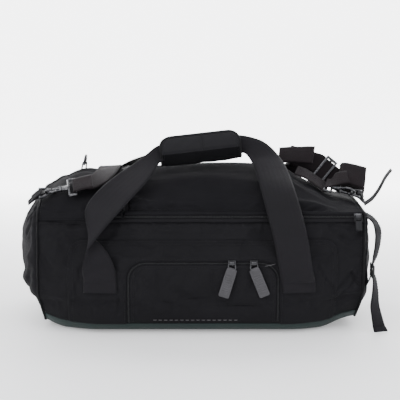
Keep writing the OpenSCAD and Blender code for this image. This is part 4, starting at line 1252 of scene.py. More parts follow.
# along the overlay's edge: two rows
for k in (2.6, 8.6):
    pts = [(-186 + k, t) for t in np.arange(2.1, OV_T - 24 / 42, 0.04)]
    pts += [(-186 + 24 - (24 - k) * math.cos(a), OV_T - 24 / 42 + (24 - k) / 42 * math.sin(a)) for a in np.linspace(0, math.pi / 2, 24)]
    pts += [(x, OV_T - k / 42) for x in np.linspace(-160, 184, 170)]
    pts += [(210 - 24 + (24 - k) * math.sin(a), OV_T - 24 / 42 + (24 - k) / 42 * math.cos(a)) for a in np.linspace(0, math.pi / 2, 24)]
    pts += [(210 - k, t) for t in np.arange(OV_T - 24 / 42, 2.1, -0.04)]
    ST.on(pts, 2.1)
ST.on(arch_path(-98.6 - 3.4, 123.6 + 3.4, 2.12, PZ + 6.0 / 45, 31), 2.7)

# ------------------------------------------------------------------ pocket
fxs = np.concatenate([[0], (1 - np.cos(np.linspace(0, math.pi, 92)[1:-1])) / 2, [1]])
FX0, FX1, FZ, FR_ = -94.4, 119.4, PZ - 1.7 / 45, 23.4
fxx = FX0 + (FX1 - FX0) * fxs
fvv = np.linspace(0, 1, 46)
QX = np.repeat(fxx[:, None], len(fvv), 1)
QT = 2.13 + (arch_top(QX, FX0 + 1e-4, FX1 - 1e-4, FZ, FR_) - 2.13) * fvv[None]
flap_path = arch_path(FX0, FX1, 2.0, FZ, FR_)
fd, _ = path_dist(QX, QT, flap_path)
puff = 2.0 * np.clip(fd / 26, 0, 1) ** 0.6 * sm(0.0, 0.25, fvv)[None]
off = 1.9 + puff + seam(fd, QX + QT * 45, 91, 0.9, 0.35, 9, 8, 1.6) + 0.5 * np.exp(-((fd - 3.2) / 1.8) ** 2) - 1.1 * np.exp(-((QT - 2.13) * 45 / 4) ** 2)
arc_f = (QT - 2.1) * 45
flap_o = shell("pocket_flap_cloth", O(QX, QT, off), O(QX, QT, np.minimum(off - 1.3, 1.0)), np.stack([QX, arc_f], -1), BM)
done(flap_o, "pocket_flap", "body_fabric", "pocket_flap")
fp = arch_path(FX0 + 5.2, FX1 - 5.2, 2.16, FZ - 5.2 / 45, FR_ - 4.5)
STF.on(fp, 2.75)

mid_path = arch_path(-96.35, 121.35, 2.12, PZ + 0.35 / 45, 25.3, 0.8)
mp_mm = mid_path * np.array([1, 45.0])
tg = np.gradient(mp_mm, axis=0)
tg /= np.linalg.norm(tg, axis=1, keepdims=True)
nrm2 = np.stack([-tg[:, 1], tg[:, 0]], -1)       # points out of the pocket


def strip(name, path, n2, a, b, o0, o1, mat, body, slot_name, *gone):
    k = 5
    f = np.linspace(a, b, k)
    X = path[:, 0:1] + n2[:, 0:1] * f[None]
    T = path[:, 1:2] + n2[:, 1:2] * f[None] / 45
    s = arclen(path * np.array([1, 45.0]))
    UV = np.stack([np.repeat(s[:, None], k, 1), np.repeat(f[None], len(path), 0)], -1)
    o = shell(name, O(X, T, o1), O(X, T, o0), UV, [mat, mat])
    fixn(o)
    return done(o, body, slot_name, *gone)


strip("pocket_tape_frame", mid_path, nrm2, 0.5, 6.4, 0.1, 0.62, M_TAPE, "root", "zip_tape", "pocket_zip_frame")
strip("pocket_tape_flap", mid_path, nrm2, -0.5, -6.0, 0.1, 0.62, M_TAPE, "pocket_flap", "zip_tape", "pocket_zip_flap")


def coil(name, P3, N3, W3, side, pitch, reach, r, mat, up=0.0, hook=0.45):
    """One half of a coil zip: slanting loops that reach from the tape past the centre line."""
    c = Stitches()
    s = arclen(P3)
    n = int(s[-1] / pitch)
    for i in range(n):
        a = (i + (0.5 if side > 0 else 0.0)) * pitch
        if a > s[-1]:
            break
        g = lambda arr, v: np.array([np.interp(v, s, arr[:, k]) for k in range(3)])
        p, nn, w = g(P3, a), g(N3, a), g(W3, a)
        d = (g(P3, min(a + 0.5, s[-1])) - g(P3, max(a - 0.5, 0)))
        d /= max(np.linalg.norm(d), 1e-9)
        inner = p - w * side * hook * 0.9 + nn * (up + 0.25)
        outer = p + w * side * reach + nn * up
        bar(c, inner - d * 0.12, outer + d * 0.3, nn, r)
    o = c.make(name, mat)
    return o


PP = O(mid_path[:, 0], mid_path[:, 1], 1.0)
PN = NRM(mid_path[:, 0], mid_path[:, 1])
PT = np.gradient(PP, axis=0)
PT /= np.linalg.norm(PT, axis=1, keepdims=True)
PW = np.cross(PN, PT)                              # check the side below
if (PW[len(PW) // 2] @ np.array([0, 0, 1])) < 0:
    PW = -PW
done(coil("pocket_coil_frame", PP, PN, PW, 1, 1.9, 1.7, 0.5, M_COIL), "root", "zip_tape")
done(coil("pocket_coil_flap", PP, PN, PW, -1, 1.9, 1.7, 0.5, M_COIL), "pocket_flap", "zip_tape")

lx = np.linspace(-97.5, 122.5, 60)
lt = np.linspace(2.18, 3.995, 40)
LX, LT = np.repeat(lx[:, None], 40, 1), np.repeat(lt[None], 60, 0)
bu = 1 - np.abs(2 * (LX - lx[0]) / (lx[-1] - lx[0]) - 1) ** 7
bv = 1 - np.abs(2 * (LT - lt[0]) / (lt[-1] - lt[0]) - 1) ** 5
dep = -1.8 - 17.5 * bu * bv + 0.7 * np.sin(LX / 9 + LT * 3) * bu * bv
lin = shell("pocket_bag", O(LX, LT, dep, False), O(LX, LT, dep - 0.8, False), np.stack([LX, LT * 45], -1), [M_LINING, M_LINING])
done(lin, "root", "lining", "pocket_lining")

# ------------------------------------------------------------------ main zip
ZC = np.array([0.0, -113.0, 169.0])
ZU = np.array([0, 8.0, 12.0]) / math.hypot(8, 12)
ZN = np.array([0, -ZU[2], ZU[1]])


def zip_band(name, x0, x1, a, b, lo, hi, mat, body, slot_name, *gone, roll=0.0, seed=1):
    xs = np.linspace(x0, x1, max(2, int((x1 - x0) / 3)))
    f = np.linspace(a, b, 9)
    v = (f - a) / (b - a)
    r = np.random.default_rng(seed)
    wob = 0.18 * np.sin(xs / 17 + r.uniform(0, 6)) + 0.14 * np.sin(xs / 7.3 + r.uniform(0, 6))
    hump = roll * np.sin(math.pi * v) ** 0.6
    C = ZC[None, None] + np.array([1.0, 0, 0]) * xs[:, None, None] + ZU * (f[None, :, None] + wob[:, None, None] * (roll > 0))
    OUT = C + ZN * (hi + hump[None, :, None] + (wob[:, None, None] * 0.5 * (roll > 0)))
    INN = C + ZN * lo
    UV = np.stack([np.repeat(xs[:, None], 9, 1), np.repeat(f[None], len(xs), 0)], -1)
    o = shell(name, OUT, INN, UV, [mat, mat])
    fixn(o)
    return done(o, body, slot_name, *gone)


zip_band("zip_tape_front", -130, 246.2, -6.6, -0.5, -0.7, 0.1, M_TAPE, "root", "zip_tape", "main_zip_body")
zip_band("zip_tape_lid", LID0, LID1, 0.5, 6.6, -0.7, 0.1, M_TAPE, "lid", "zip_tape", "main_zip_lid")
zip_band("zip_tape_left", -130, LID0 - 0.7, 0.5, 6.6, -0.7, 0.1, M_TAPE, "root", "zip_tape")
zip_band("zip_tape_right", LID1 + 0.7, 246.2, 0.5, 6.6, -0.7, 0.1, M_TAPE, "root", "zip_tape")
zip_band("zip_lip_front", -131, 247, -8.6, -3.0, -0.4, 0.5, M_BODY, "root", "body_fabric", roll=1.5, seed=2)
zip_band("zip_lip_lid", LID0 + 1, LID1 - 1, 3.0, 8.8, -0.4, 0.5, M_SHEEN, "lid", "body_fabric", roll=1.5, seed=3)
zip_band("zip_lip_left", -131, LID0 - 1.4, 3.0, 8.8, -0.4, 0.5, M_SHEEN, "root", "body_fabric", roll=1.5, seed=4)
zip_band("zip_lip_right", LID1 + 1.4, 247, 3.0, 8.8, -0.4, 0.5, M_SHEEN, "root", "body_fabric", roll=1.5, seed=5)


def straight(x0, x1, step=2.0):
    xs = np.arange(x0, x1, step)
    P = ZC[None] + np.array([1.0, 0, 0]) * xs[:, None] + ZN * 0.5
    return P, np.repeat(ZN[None], len(xs), 0), np.repeat(ZU[None], len(xs), 0)


for nm, a, b, sd, bd in (("zip_coil_front", -129, 246, -1, "root"), ("zip_coil_lid", LID0, LID1, 1, "lid"),
                         ("zip_coil_left", -129, LID0 - 0.7, 1, "root"), ("zip_coil_right", LID1 + 0.7, 246, 1, "root")):
    done(coil(nm, *straight(a, b), sd, 2.2, 1.9, 0.58, M_COIL), bd, "zip_tape")

# the lid's two short zips, over the top
for nm, xe, out_ in (("left", LID0, -1), ("right", LID1, 1)):
    tt = np.interp(np.linspace(np.interp(7.05, _tt, _arc), np.interp(12.85, _tt, _arc), 150), _arc, _tt)
    xc = xe + out_ * 0.35
    P, Nn = O(np.full(tt.shape, xc), tt, 0.6), NRM(np.full(tt.shape, xc), tt)
    W = np.repeat(np.array([[1.0, 0, 0]]), len(tt), 0)
    for part, sgn, body in (("body", out_, "root"), ("lid", -out_, "lid")):
        f = np.linspace(0.5, 6.4, 5) * sgn
        X, T = xc + np.repeat(f[None], len(tt), 0), np.repeat(tt[:, None], 5, 1)
        UV = np.stack([np.repeat(arclen(P)[:, None], 5, 1), np.repeat(f[None], len(tt), 0)], -1)
        o = shell("side_zip_tape_%s_%s" % (nm, part), O(X, T, 0.1), O(X, T, -0.7), UV, [M_TAPE, M_TAPE])
        fixn(o)
        done(o, body, "zip_tape")
        done(coil("side_zip_coil_%s_%s" % (nm, part), P, Nn, W, sgn, 2.2, 1.9, 0.55, M_COIL), body, "zip_tape")

# ------------------------------------------------------------------ clearance from the skin
_bx = np.linspace(X_L, X_R, 162)
_bt = np.interp(np.linspace(0, _arc[-1], 281)[:-1], _arc, _tt)
BX, BT = np.repeat(_bx[:, None], 280, 1), np.repeat(_bt[None], 162, 0)
ovm = (BX > -188) & (BX < 212) & (BT < 4.95) & (BT > 2.0)
band = (BT > 5.9) & (BT < 7.15)
skin = O(BX, BT, np.where(ovm, 2.6, 0.3) + np.where(band, 1.6, 0.0))
vs = [tuple(p) for p in skin.reshape(-1, 3)]
fs = [(i * 280 + j, (i + 1) * 280 + j, (i + 1) * 280 + (j + 1) % 280, i * 280 + (j + 1) % 280) for i in range(161) for j in range(280)]
BVH = BVHTree.FromPolygons(vs, fs)


def clear(th, gap=0.4, cap=14):
    def f(C, nn, s):
        C = C.copy()
        for _ in range(2):
            need = np.zeros(C.shape[:2])
            dirn = np.zeros_like(C)
            for i in range(C.shape[0]):
                for j in range(C.shape[1]):
                    loc, nor, idx, dist = BVH.find_nearest(Vector(C[i, j]))
                    if loc is None:
                        continue
                    sg = (Vector(C[i, j]) - loc).dot(nor)
                    n_ = np.array(nor)
                    dirn[i, j] = n_
                    if sg < th / 2 + gap and dist < 25:
                        need[i, j] = min(cap, th / 2 + gap - sg)
            if need.max() <= 0:
                break
            k = np.exp(-np.linspace(-2, 2, 9) ** 2)
            k /= k.sum()
            pad = np.pad(need, ((4, 4), (0, 0)), mode="edge")
            soft = sum(k[a] * pad[a:a + need.shape[0]] for a in range(9))
            mv = np.maximum(need, soft)
            row = mv.max(1, keepdims=True)
            mv = np.maximum(mv, row * 0.55)
            C = C + dirn * mv[..., None]
        return C
    return f


# ------------------------------------------------------------------ handles
def arr(a):
    return [np.asarray(p, float) for p in a]


FL = [[O(-161, 3.18, 4.1), O(-113, 3.18, 4.1)], [O(-161, 3.33, 4.1), O(-113, 3.33, 4.1)], [O(-161, 3.49, 4.1), O(-113, 3.49, 4.1)],
      [[-161, -148.6, 84.5], [-113.3, -147.8, 85.5]],
      [[-162, -151.5, 92], [-116, -147.8, 102]],
      [[-161, -162, 104], [-126, -148, 124]],
      [[-158, -167, 117], [-142, -142, 141]],
      [[-151, -165, 131], [-155, -134, 158]],
      [[-132, -153, 155], [-160, -121, 179]],
      [[-114, -138, 174], [-152, -105, 196]],
      [[-93, -119, 196], [-134, -92, 214]],
      [[-76, -102, 213], [-112, -76, 230]],
      [[-65, -86, 226], [-92, -62, 242]],
      [[-57, -70, 237], [-74, -48, 254]],
      [[-52, -56, 243], [-58, -42, 266]],
      [[-40, -48, 247], [-41, -38, 270]]]
FR = [[O(128, 3.18, 4.1), O(175, 3.18, 4.1)], [O(127, 3.33, 4.1), O(175, 3.33, 4.1)], [O(126, 3.49, 4.1), O(174.5, 3.49, 4.1)],
      [[124.8, -148, 85], [173.8, -147, 85]],
      [[121, -147.4, 104], [170, -146.6, 104]],
      [[114, -143.5, 141], [164, -142, 142]],
      [[106, -124, 173], [157, -123, 174]],
      [[97, -97, 208], [148, -96, 207]],
      [[89, -62, 237], [139, -58, 233]],
      [[83, -44, 247], [127, -34, 252]],
      [[76, -32, 254], [104, -24, 272]],
      [[66, -30, 256], [72, -22, 281]],
      [[48, -33, 254], [50, -25, 280]]]
RH0 = [[-162, 144.8, 77.2], [-113, 144.8, 77.2]]
RH = [[O(-162, 16.95, 2.0), O(-113, 16.95, 2.0)], [O(-162, 16.78, 2.0), O(-113, 16.78, 2.0)], [O(-162, 16.62, 2.2), O(-113, 16.62, 2.2)],
      [O0(-162, 16.1, 5), O0(-113, 16.1, 5)],
      [O0(-160, 15.5, 7.5), O0(-111, 15.5, 7.5)],
      [O0(-157, 14.6, 7.5), O0(-108, 14.6, 7.5)],
      [O0(-150, 13.3, 7.5), O0(-102, 13.3, 7.5)],
      [O0(-139, 12.1, 7.5), O0(-94, 12, 7.5)],
      [O0(-122, 11.3, 8), O0(-82, 11.5, 7.5)],
      [[-92, 32, 239], [-66, 58, 239]],
      [[-58, 16, 247], [-46, 36, 257]],
      [[-20, 12, 249], [-18, 18, 269]],
      [[10, 10, 249], [10, 16, 269]],
      [[40, 12, 249], [38, 18, 269]],
      [[76, 20, 249], [64, 38, 259]],
      [[110, 38, 243], [84, 62, 241]],
      [O0(136, 11.4, 8), O0(96, 11.7, 7.5)],
      [O0(149, 12.1, 7.5), O0(104, 12.2, 7.5)],
      [O0(159, 13.3, 7.5), O0(111, 13.4, 7.5)],
      [O0(166, 14.6, 7.5), O0(117, 14.6, 7.5)],
      [O0(169, 15.5, 7.5), O0(120, 15.5, 7.5)],
      [O0(171, 16.1, 5), O0(122, 16.1, 5)],
      [O(171, 16.62, 2.2), O(122, 16.62, 2.2)], [O(171, 16.78, 2.0), O(122, 16.78, 2.0)], [O(171, 16.95, 2.0), O(122, 16.95, 2.0)]]


def soft_bend(a, k=1.0):
    return lambda fs, fv: a * (1 - (2 * fv - 1) ** 2) * k + 0 * fs


def web_stitch(col, pt, n, rows, f0=0.01, f1=0.99, up=0.12, body_len=None):
    """Lines of stitches along a strap at the given width shares."""
    for v in rows:
        P, Nn = [], []
        for f in np.linspace(f0, f1, n):
            p, q, L = pt(f, v, up)
            P.append(p)
            Nn.append(q)
        col.run(P, Nn, length=2.6, gap=1.5, r=0.26)


def box_stitch(col, pt, L, a, b, v0=0.1, v1=0.9, up=0.15):
    """A sewn rectangle with a cross in it, from a to b mm along the strap."""
    def seg(p, q, n=24):
        P, Nn = [], []
        for k in np.linspace(0, 1, n):
            x, nn, _ = pt((p[0] + (q[0] - p[0]) * k) / L, p[1] + (q[1] - p[1]) * k, up)
            P.append(x)
            Nn.append(nn)
        col.run(P, Nn, length=2.4, gap=1.0, r=0.34)
    c = [(a, v0), (b, v0), (b, v1), (a, v1)]
    for i in range(4):
        seg(c[i], c[(i + 1) % 4])
    seg(c[0], c[2])
    seg(c[1], c[3])


up = 0.07, 0.084
STH = {"l": Stitches(), "r": Stitches(), "b": Stitches()}
hl, pl, sl_, Cl, nl = web("handle_leg_left", FL, 2.3, M_WEB, 9, 16, soft_bend(-1.2), clear(2.3, 0.25))
hr, pr, sr_, Cr, nr_ = web("handle_leg_right", FR, 2.3, M_WEB, 9, 16, soft_bend(-1.4), clear(2.3, 0.25))
hb, pb, sb_, Cb, nb_ = web("handle_rear", RH, 2.3, M_WEB, 8, 16, soft_bend(1.0), clear(2.3, 0.25))
for key, pt, s in (("l", pl, sl_), ("r", pr, sr_), ("b", pb, sb_)):
    web_stitch(STH[key], pt, 300, (0.06, 0.94))


def foot_boxes(col, pt, s):
    L = s[-1]
    box_stitch(col, pt, L, 1.5, 13.0, 0.07, 0.93)


FOOT = Stitches()
foot_boxes(FOOT, pl, sl_)
foot_boxes(FOOT, pr, sr_)
foot_boxes(FOOT, pb, sb_)
box_stitch(FOOT, pb, sb_[-1], sb_[-1] - 13.0, sb_[-1] - 1.5, 0.07, 0.93)
done(FOOT.make("foot_stitches", M_THREAD), "root", "handle_webbing")
for o, body, gone in ((hl, "handle_front", ("front_handle_left_web", "front_leg_patches")), (hr, "handle_front", ("front_handle_right_web",)),
                      (hb, "handle_rear", ("rear_handle_web", "rear_leg_patches"))):
    up = 0.0058 if body == "handle_front" else 0.0
    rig.blend(o, "root", body, start=(0, 0, 0.0735 + up), end=(0, 0, 0.083 + up))
    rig.slot(o, "handle_webbing")
    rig.replaces(o, *gone)
for key, body, nm in (("l", "handle_front", "leg_stitches_left"), ("r", "handle_front", "leg_stitches_right"), ("b", "handle_rear", "rear_stitches")):
    o = STH[key].make(nm, M_THREAD)
    up = 0.0058 if body == "handle_front" else 0.0
    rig.blend(o, "root", body, start=(0, 0, 0.0735 + up), end=(0, 0, 0.083 + up))
    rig.slot(o, "handle_webbing")

# ------------------------------------------------------------------ grip
GC = np.array([8.0, -36.5, 263.0])
ry, rz = math.radians(-6), math.radians(5)
RY = np.array([[math.cos(ry), 0, math.sin(ry)], [0, 1, 0], [-math.sin(ry), 0, math.cos(ry)]])
RZ = np.array([[math.cos(rz), -math.sin(rz), 0], [math.sin(rz), math.cos(rz), 0], [0, 0, 1]])
GR = RZ @ RY
SEC = np.array([[4.0, 19.6], [8.2, 14.5], [10.2, 5], [10.4, -6], [7.6, -15.5], [0.5, -19.8], [-6.6, -17.2], [-9.8, -9], [-11.2, -1.0],
                [-9.6, 8], [-5.8, 15.6], [-1.6, 20.6]], float)


def sec_pt(v):
    n = len(SEC) - 1
    f = np.clip(np.asarray(v) * n, 0, n - 1e-6)
    i = np.floor(f).astype(int)
    u = (f - i)[..., None]
    a, b, c, d = SEC[np.maximum(i - 1, 0)], SEC[i], SEC[i + 1], SEC[np.minimum(i + 2, n)]
    return 0.5 * (2 * b + (c - a) * u + (2 * a - 5 * b + 4 * c - d) * u * u + (3 * b - a - 3 * c + d) * u ** 3)


nu, nv = 96, 110
gu = np.linspace(-1, 1, nu)
gv = np.linspace(0, 1, nv)
sp = sec_pt(gv)
sal = arclen(sp)
dist_v = np.minimum(sal, sal[-1] - sal)
r_c = 17.0
half_l = 60 - np.where(dist_v < r_c, r_c - np.sqrt(np.maximum(0, r_c ** 2 - (r_c - np.clip(dist_v, 0, r_c)) ** 2)), 0)
tv = np.gradient(sp, axis=0)
tv /= np.linalg.norm(tv, axis=1, keepdims=True)
nv2 = np.stack([tv[:, 1], -tv[:, 0]], -1)
if nv2[nv // 4] @ sp[nv // 4] < 0:
    nv2 = -nv2
GXX = gu[:, None] * half_l[None]
edge = np.minimum(np.minimum(60 - np.abs(GXX), half_l[None] - np.abs(GXX)), dist_v[None])
front_half = sm(0.62, 0.72, gv)[None]
puff = 1.9 * (1 - np.exp(-np.maximum(edge, 0) / 6.0)) - 1.0 * front_half * np.exp(-((GXX - 3) / 1.8) ** 2) * sm(2, 8, dist_v)[None]
puff = puff - 1.0 * np.exp(-(((gv[None] - 0.715) / 0.018) ** 2)) * sm(0, 8, edge)
puff = puff + 0.35 * np.sin(GXX / 7.5 + gv[None] * 9) * sm(3, 12, edge) + 0.25 * np.sin(GXX / 4.1 - gv[None] * 17) * sm(3, 12, edge)
puff = puff - 0.8 * np.exp(-((edge - 3.4) / 0.9) ** 2)


def grip_pt(X, Y, Z):
    L = np.stack(np.broadcast_arrays(X, Y, Z), -1)
    L = L * np.array([1.0, 1.03, 1.06])
    return GC + L @ GR.T


gout = grip_pt(GXX, sp[None, :, 0] + nv2[None, :, 0] * puff, sp[None, :, 1] + nv2[None, :, 1] * puff)
ginn = grip_pt(GXX, sp[None, :, 0] + nv2[None, :, 0] * -2.2, sp[None, :, 1] + nv2[None, :, 1] * -2.2)
guv = np.stack([GXX + 80, np.repeat(sal[None], nu, 0)], -1)
F_, mi_ = [], []
grip = shell("grip_wrap_cloth", gout, ginn, guv, [M_GRIP, M_GRIP_SHADE])
pm = grip.data
pm.materials.append(M_GRIP_SHADE)
half_cells = nu - 1
for p in pm.polygons:          # the lower front band takes the darker material: painted shade where the wrap faces down, away from the light
    ids = [v for v in p.vertices]
    k = ids[0]
    if k < nu * nv and 0.50 < gv[k % nv] < 0.70:
        p.material_index = 2
fixn(grip)
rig.padded(grip, fill=0.55)
done(grip, "handle_front", "grip_fabric", "grip_wrap")
outline = []
for k in range(nv):
    outline.append(((gout + ginn * 0)[0, k] * 0.6 + ginn[0, k] * 0.4))
for i in range(1, nu):
    outline.append(gout[i, -1] * 0.6 + ginn[i, -1] * 0.4)
for k in range(nv - 2, -1, -1):
    outline.append(gout[-1, k] * 0.6 + ginn[-1, k] * 0.4)
for i in range(nu - 2, 0, -1):
    outline.append(gout[i, 0] * 0.6 + ginn[i, 0] * 0.4)
bnd = tube("grip_binding", outline, 1.9, M_BIND, True, 8)
done(bnd, "handle_front", "grip_fabric")
SG = Stitches()


def on_grip(path):
    P, Nn = [], []
    for (i, k) in path:
        i0, k0 = int(min(nu - 2, i)), int(min(nv - 2, k))
        a, b = i - i0, k - k0
        p = (gout[i0, k0] * (1 - a) + gout[i0 + 1, k0] * a) * (1 - b) + (gout[i0, k0 + 1] * (1 - a) + gout[i0 + 1, k0 + 1] * a) * b
        P.append(p)
        Nn.append(GR @ np.array([0, nv2[k0, 0], nv2[k0, 1]]))
    SG.run(np.array(P) + np.array(Nn) * 0.15, Nn, length=2.4, gap=1.2, r=0.28)


on_grip([(3.0, k) for k in np.linspace(5, nv - 6, 160)])
on_grip([(nu - 4.0, k) for k in np.linspace(5, nv - 6, 160)])
on_grip([(i, nv - 6) for i in np.linspace(4, nu - 5, 160)])
on_grip([(i, 5) for i in np.linspace(4, nu - 5, 160)])
on_grip([(nu * 0.525 + 0.8, k) for k in np.linspace(nv * 0.73, nv - 6, 40)])
done(SG.make("grip_stitches", M_THREAD), "handle_front", "grip_fabric")

# ------------------------------------------------------------------ shoulder strap
SO = 2.6
GL = np.array([203.0, 21, 222.5])
gd = np.array([0.76, -0.1, -0.63])
gd /= np.linalg.norm(gd)
gw = np.array([23.4, 10, 26.5])
gw -= gd * (gw @ gd)
gw /= np.linalg.norm(gw)


def frame_at(c, d, w):
    x = np.array(d, float)
    x /= np.linalg.norm(x)
    y = np.array(w, float)
    y = y - x * (y @ x)
    y /= np.linalg.norm(y)
    return np.array(c, float), np.column_stack([x, y, np.cross(x, y)])


def rx(a):
    a = math.radians(a)
    return np.array([[1, 0, 0], [0, math.cos(a), -math.sin(a)], [0, math.sin(a), math.cos(a)]])


LC, LR = frame_at([-230, -84, 200], [60, 5, 11], [0, 80, 48])
RC, RR = frame_at([253, -28, 190.5], [-50, 10, 13], [8, -50, -20])


def loc(C, R, p):
    return C + R @ np.asarray(p, float)


def loop_sta(C, R, xb, w, r, tail, sgn=1, flip=False, lift=0.0, a0=90):
    """Stations of a strap that comes along +X below, goes round a bar at x = xb, and back on top."""
    out = []
    for a in np.arange(a0, a0 + 181, 22.5):
        g = math.radians(a)
        x, z = xb + r * math.cos(g) * 1.0, r * math.sin(g) * sgn
        e0, e1 = loc(C, R, [x, -w / 2, z]), loc(C, R, [x, w / 2, z])
        out.append([e0, e1] if not flip else [e1, e0])
    return out


# the long strap: from the loop on the left hook's eye to the folded end on the right
xe = 17.6 + 36
loopL = loop_sta(LC, LR, xe, 33, 3.1, 0, 1)
tailL = [[loc(LC, LR, [xe + 26, -16.5, 4.6]), loc(LC, LR, [xe + 26, 16.5, 4.6])], [loc(LC, LR, [xe + 12, -16.5, 4.4]), loc(LC, LR, [xe + 12, 16.5, 4.4])]]
under = loopL[-1]
SL = [[[-167.5, -93, 208], [-164.5, -63, 224]],
      [O0(-152, 8.25, 6), O0(-157, 9.1, 6)],
      [O0(-132, 8.65, 4.6), O0(-152, 9.4, 4.6)],
      [O0(-119, 9.3, 3.6), O0(-150, 9.8, 3.6)],
      [O0(-114.5, 10.1, 3), O0(-150, 10.3, 3)],
      [O0(-114, 11.1, SO), O0(-150, 11.1, SO)],
      [O0(-114.5, 12.2, SO), O0(-150, 12.1, SO)],
      [O0(-115, 13.2, SO), O0(-150, 13.1, SO)],
      [O0(-113, 14.1, SO), O0(-147, 14.3, SO)],
      [O0(-104, 14.75, SO), O0(-130, 15.35, SO)],
      [O0(-80, 15.05, SO), O0(-92, 15.9, SO)],
      [O0(-40, 15.12, SO), O0(-44, 16.02, SO)],
      [O0(6, 15.12, SO), O0(6, 16.02, SO)],
      [O0(60, 15.12, SO), O0(64, 16.02, SO)],
      [O0(104, 15.02, SO), O0(116, 15.85, SO)],
      [O0(128, 14.75, SO), O0(152, 15.3, SO)],
      [O0(137, 14.1, SO), O0(171, 14.3, SO)],
      [O0(139.5, 13.1, SO), O0(175, 13.1, SO)],
      [O0(140, 12.1, SO), O0(175, 12.1, SO)],
      [O0(139, 11.5, SO), O0(171, 11.6, 7)],
      [O0(139, 11.1, 6), O0(157, 11.2, 23)],
      [[147, 17, 229], [151, 31, 259]],
      [[163, 18, 224], [173, 31, 253]],
      [GL - 18 * gd - 17 * gw, GL - 18 * gd + 17 * gw],
      [GL - 6 * gd - 17 * gw, GL - 6 * gd + 17 * gw],
      [GL + 6 * gd - 17 * gw, GL + 6 * gd + 17 * gw],
      [GL + 20 * gd - 16.5 * gw, GL + 20 * gd + 16.5 * gw]]
SBC = np.array([[223, 22, 203], [240, 17, 199], [256, 13, 197], [265, 8, 201], [259, 4, 206], [242, 6, 209.5], [228, 6, 213],
                [225, 3, 218.5], [231, -2, 220.5], [246, -6, 218], [264, -9, 213]], float)
SBV = np.array([3, 12.5, 12.5])
SB = [[c - SBV * (1 + 0.02 * i), c + SBV * (1 + 0.02 * i)] for i, c in enumerate(SBC)]
strap_o, ps, ss, Cs, ns = web("shoulder_strap", loopL[::-1][:0] + [loopL[-1]] + SL + SB, 1.9, M_STRAP, 8, 12, None, clear(1.9, 0.3))
done(strap_o, "root", "strap_webbing", "strap_web_left", "strap_web_right", "strap_bundle")
fold_l = tailL + loopL
fl_o, pfl, sfl, _, _ = web("strap_loop_left", fold_l, 1.9, M_STRAP, 6, 10, None, None)
done(fl_o, "root", "strap_webbing")
SS = Stitches()
web_stitch(SS, ps, 700, (0.07, 0.93), 0.004, 0.996)
box_stitch(SS, pfl, sfl[-1], 2, 16, 0.12, 0.88)
done(SS.make("strap_stitches", M_THREAD), "root", "strap_webbing")
ret = [[[130, 9, 234], [133, 29, 257]], [[140, 7, 235.5], [144, 27, 258]], [[151, 5.5, 236], [155.5, 25, 259]],
       [[161, 4, 235.5], [166, 23, 259]], [[172, 2, 235], [177, 20, 260]], [[182, -1, 234.5], [188, 17, 260]]]
ret_o, pret, sret, _, _ = web("strap_cut_end", ret, 1.9, M_STRAP, 8, 12, soft_bend(0.8), None)
done(ret_o, "root", "strap_webbing", "strap_return")
# the short length that joins the right hook's eye to the folded strap
loopR = loop_sta(RC, RR, xe, 33, 3.1, 0, -1)
tR = [[loc(RC, RR, [xe + 2, -16.5, -5]), loc(RC, RR, [xe + 2, 16.5, -5])]]
jr = loopR + [[loc(RC, RR, [xe - 5, -17, 5.0]), loc(RC, RR, [xe - 5, 17, 5.0])], [[220, -1, 221], [222, -25, 205]], [[236, -3, 224], [238, -25, 207]]]
jr_o, pjr, sjr, _, _ = web("strap_loop_right", jr, 1.9, M_STRAP, 6, 10, None, None)
under_r = [[loc(RC, RR, [xe + dx, -16.5, dz]), loc(RC, RR, [xe + dx, 16.5, dz])] for dx, dz in ((1.5, -3.2), (6, -1.5), (18, 3), (34, 9), (50, 10.5))]
ur_o, _, _, _, _ = web("strap_under_right", under_r, 1.9, M_STRAP, 6, 10, soft_bend(0.6), None)
done(ur_o, "root", "strap_webbing")
done(jr_o, "root", "strap_webbing")

# ------------------------------------------------------------------ ring tabs
for nm, (C, R), w, l, tilt, gone in (("left_tab", (LC, LR), 15, 12, 12, "left_ring_tab"), ("right_tab", (RC, RR), 15, 8, -30, "right_ring_tab")):
    a = math.radians(tilt)
    R2 = R @ np.array([[math.cos(a), 0, math.sin(a)], [0, 1, 0], [-math.sin(a), 0, math.cos(a)]])
    dn = 9.0 if nm == "left_tab" else 0.0
    st = [[loc(C, R2, [-l - 5, -w / 2 + 1, -3.9 - 1.5 * dn]), loc(C, R2, [-l - 5, w / 2 - 1, -3.9 - 1.5 * dn])], [loc(C, R2, [-l + 1, -w / 2, -3.6 - 0.8 * dn]), loc(C, R2, [-l + 1, w / 2, -3.6 - 0.8 * dn])], [loc(C, R2, [-4, -w / 2, -3.3 - 0.1 * dn]), loc(C, R2, [-4, w / 2, -3.3 - 0.1 * dn])]]
    for g in np.radians(np.arange(-90, 91, 22.5)):
        st.append([loc(C, R2, [3.1 * math.cos(g), -w / 2, 3.1 * math.sin(g)]), loc(C, R2, [3.1 * math.cos(g), w / 2, 3.1 * math.sin(g)])])
    st += [[loc(C, R2, [-5, -w / 2, 0.6 - 0.2 * dn]), loc(C, R2, [-5, w / 2, 0.6 - 0.2 * dn])], [loc(C, R2, [-l, -w / 2, -1.2 - 0.85 * dn]), loc(C, R2, [-l, w / 2, -1.2 - 0.85 * dn])]]
    o, p_, s_, _, _ = web(nm, st, 1.8, M_WEB, 5, 8)
    done(o, "root", "handle_webbing", gone)
    q = Stitches()
    box_stitch(q, p_, s_[-1], s_[-1] - 8, s_[-1] - 1, 0.14, 0.86)
    done(q.make(nm + "_stitches", M_THREAD), "root", "handle_webbing")
RT = np.array([-174.0, 28, 231.5])
b_ = math.radians(-80)
RTR = np.array([[math.cos(b_), 0, math.sin(b_)], [0, 1, 0], [-math.sin(b_), 0, math.cos(b_)]])
